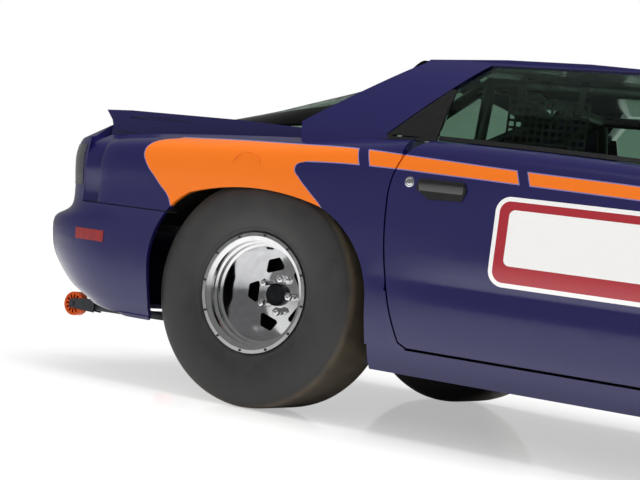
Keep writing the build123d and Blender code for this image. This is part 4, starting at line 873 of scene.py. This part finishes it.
def window_net():
    """Crossed webbing straps, hung from the cage by two looped straps."""
    middle = at(sum(NET_X) / 2, NET_Y, sum(NET_Z) / 2)
    bpy.ops.object.select_all(action="DESELECT")
    bpy.ops.mesh.primitive_grid_add(x_subdivisions=NET_SQUARES[0], y_subdivisions=NET_SQUARES[1], size=1.0,
                                    location=middle, rotation=(math.pi / 2, 0, 0))
    bpy.context.object.scale = ((NET_X[1] - NET_X[0]) / 1000, (NET_Z[1] - NET_Z[0]) / 1000, 1.0)
    bpy.ops.object.transform_apply(location=True, rotation=True, scale=True)
    bpy.ops.object.mode_set(mode="EDIT")
    bpy.ops.mesh.select_all(action="SELECT")
    bpy.ops.mesh.wireframe(use_even_offset=True, use_relative_offset=False, use_replace=True,
                           thickness=STRAP, offset=0.0)
    bpy.ops.mesh.select_all(action="SELECT")
    bpy.ops.transform.resize(value=(1, STRAP_FLAT, 1), center_override=middle)
    bpy.ops.mesh.normals_make_consistent(inside=False)
    bpy.ops.object.mode_set(mode="OBJECT")
    settle("window_net", "car", WEBBING)
    path = [(NET_Y + HANGER_START[0], NET_Z[1] - HANGER_START[1])]
    reach = BAR_R + LOOP_GAP
    for i in range(LOOP_STEPS + 1):
        turn = math.pi * (1.0 - LOOP_TURN * i / LOOP_STEPS)
        path.append((BAR_Y + reach * math.cos(turn), BAR_Z + reach * math.sin(turn)))
    for name, x in HANGERS:
        traced([at(x, y, z) for y, z in path])
        bpy.ops.mesh.extrude_region_move(TRANSFORM_OT_translate={"value": (HANGER_WIDTH, 0, 0)})
        thickened(HANGER_THICK)
        settle(name, "car", WEBBING)


window_net()


# Seat pads: name, start and end of the underside in side view, thickness, mm
SEAT_PADS = [("seat_base_pad", (880.0, 482.0), (1290.0, 430.0), 62.0),
             ("seat_back_pad", (852.0, 560.0), (744.0, 985.0), 56.0)]
SEAT_MIDDLE_Y = 392.0
PAD_WIDTH = 296.0
# Gap to the shell, seam between the sewn squares and the squares' rise, metres
PAD_GAP = 0.002
PAD_SEAM = 0.007
PAD_RISE = 0.007


def seat_pads():
    """Foam pads under vinyl, sewn in raised squares, laid into the bucket shell."""
    for name, (x0, z0), (x1, z1), thick in SEAT_PADS:
        run = Vector((x1 - x0, 0, z1 - z0))
        lift = Vector((-run.z, 0, run.x)).normalized()
        if lift.x < 0 and run.x < 0:
            lift = -lift
        middle = at((x0 + x1) / 2, SEAT_MIDDLE_Y, (z0 + z1) / 2) + lift * (thick / 2000 + PAD_GAP)
        bpy.ops.object.select_all(action="DESELECT")
        slope = -math.atan2(run.z, run.x)
        bpy.ops.mesh.primitive_cube_add(size=1.0, location=middle, rotation=(0, slope, 0))
        bpy.context.object.scale = (run.length / 1000, PAD_WIDTH / 1000, thick / 1000)
        bpy.ops.object.transform_apply(location=True, rotation=True, scale=True)
        bpy.ops.object.mode_set(mode="EDIT")
        bpy.ops.mesh.select_all(action="SELECT")
        bpy.ops.mesh.subdivide(number_cuts=4)
        choose(lambda face: face.normal.dot(lift) > FACING)
        bpy.ops.mesh.inset(thickness=PAD_SEAM, use_individual=True)
        bpy.ops.transform.translate(value=lift * PAD_RISE)
        bpy.ops.object.mode_set(mode="OBJECT")
        soft = bpy.context.object.modifiers.new("soft", "SUBSURF")
        soft.levels = 2
        bpy.ops.object.modifier_apply(modifier="soft")
        pad = settle(name, "car", FINISHES["seat_vinyl"], 60.0)


seat_pads()


# Closing panel behind the hatch lid, mm from the axle: its edge on the tail cover, its edge under the lid
TAIL_PANEL = [((-1051.0, 0.0, 862.0), (-957.0, 0.0, 884.0)),
              ((-1046.0, 220.0, 862.0), (-948.0, 210.0, 884.0)),
              ((-1032.0, 431.0, 862.0), (-924.0, 390.0, 884.0)),
              ((-1010.0, 560.0, 862.0), (-890.0, 520.0, 883.0)),
              ((-978.0, 661.0, 862.0), (-858.0, 610.0, 882.0)),
              ((-913.0, 785.0, 862.0), (-822.0, 690.0, 880.0)),
              ((-825.0, 873.0, 862.0), (-800.0, 742.0, 880.0)),
              ((-788.0, 893.0, 862.0), (-788.0, 756.0, 880.0))]
TAIL_THICK = 0.004


def tail_panel():
    """Painted panel that closes the tail between its cover and the hatch lid."""
    edges = []
    for side in (0, 1):
        half = [row[side] for row in TAIL_PANEL]
        line = [(x, -y, z) for x, y, z in reversed(half[1:])] + half
        traced([at(*spot) for spot in line])
        bpy.ops.object.mode_set(mode="OBJECT")
        edges.append(bpy.context.object)
    joined(edges, "tail_panel")
    bpy.ops.object.mode_set(mode="EDIT")
    bpy.ops.mesh.select_mode(type="EDGE")
    bpy.ops.mesh.select_all(action="SELECT")
    bpy.ops.mesh.bridge_edge_loops(number_cuts=2)
    thickened(TAIL_THICK)
    settle("tail_panel", "car", FINISHES["body_paint"], 50.0)


tail_panel()
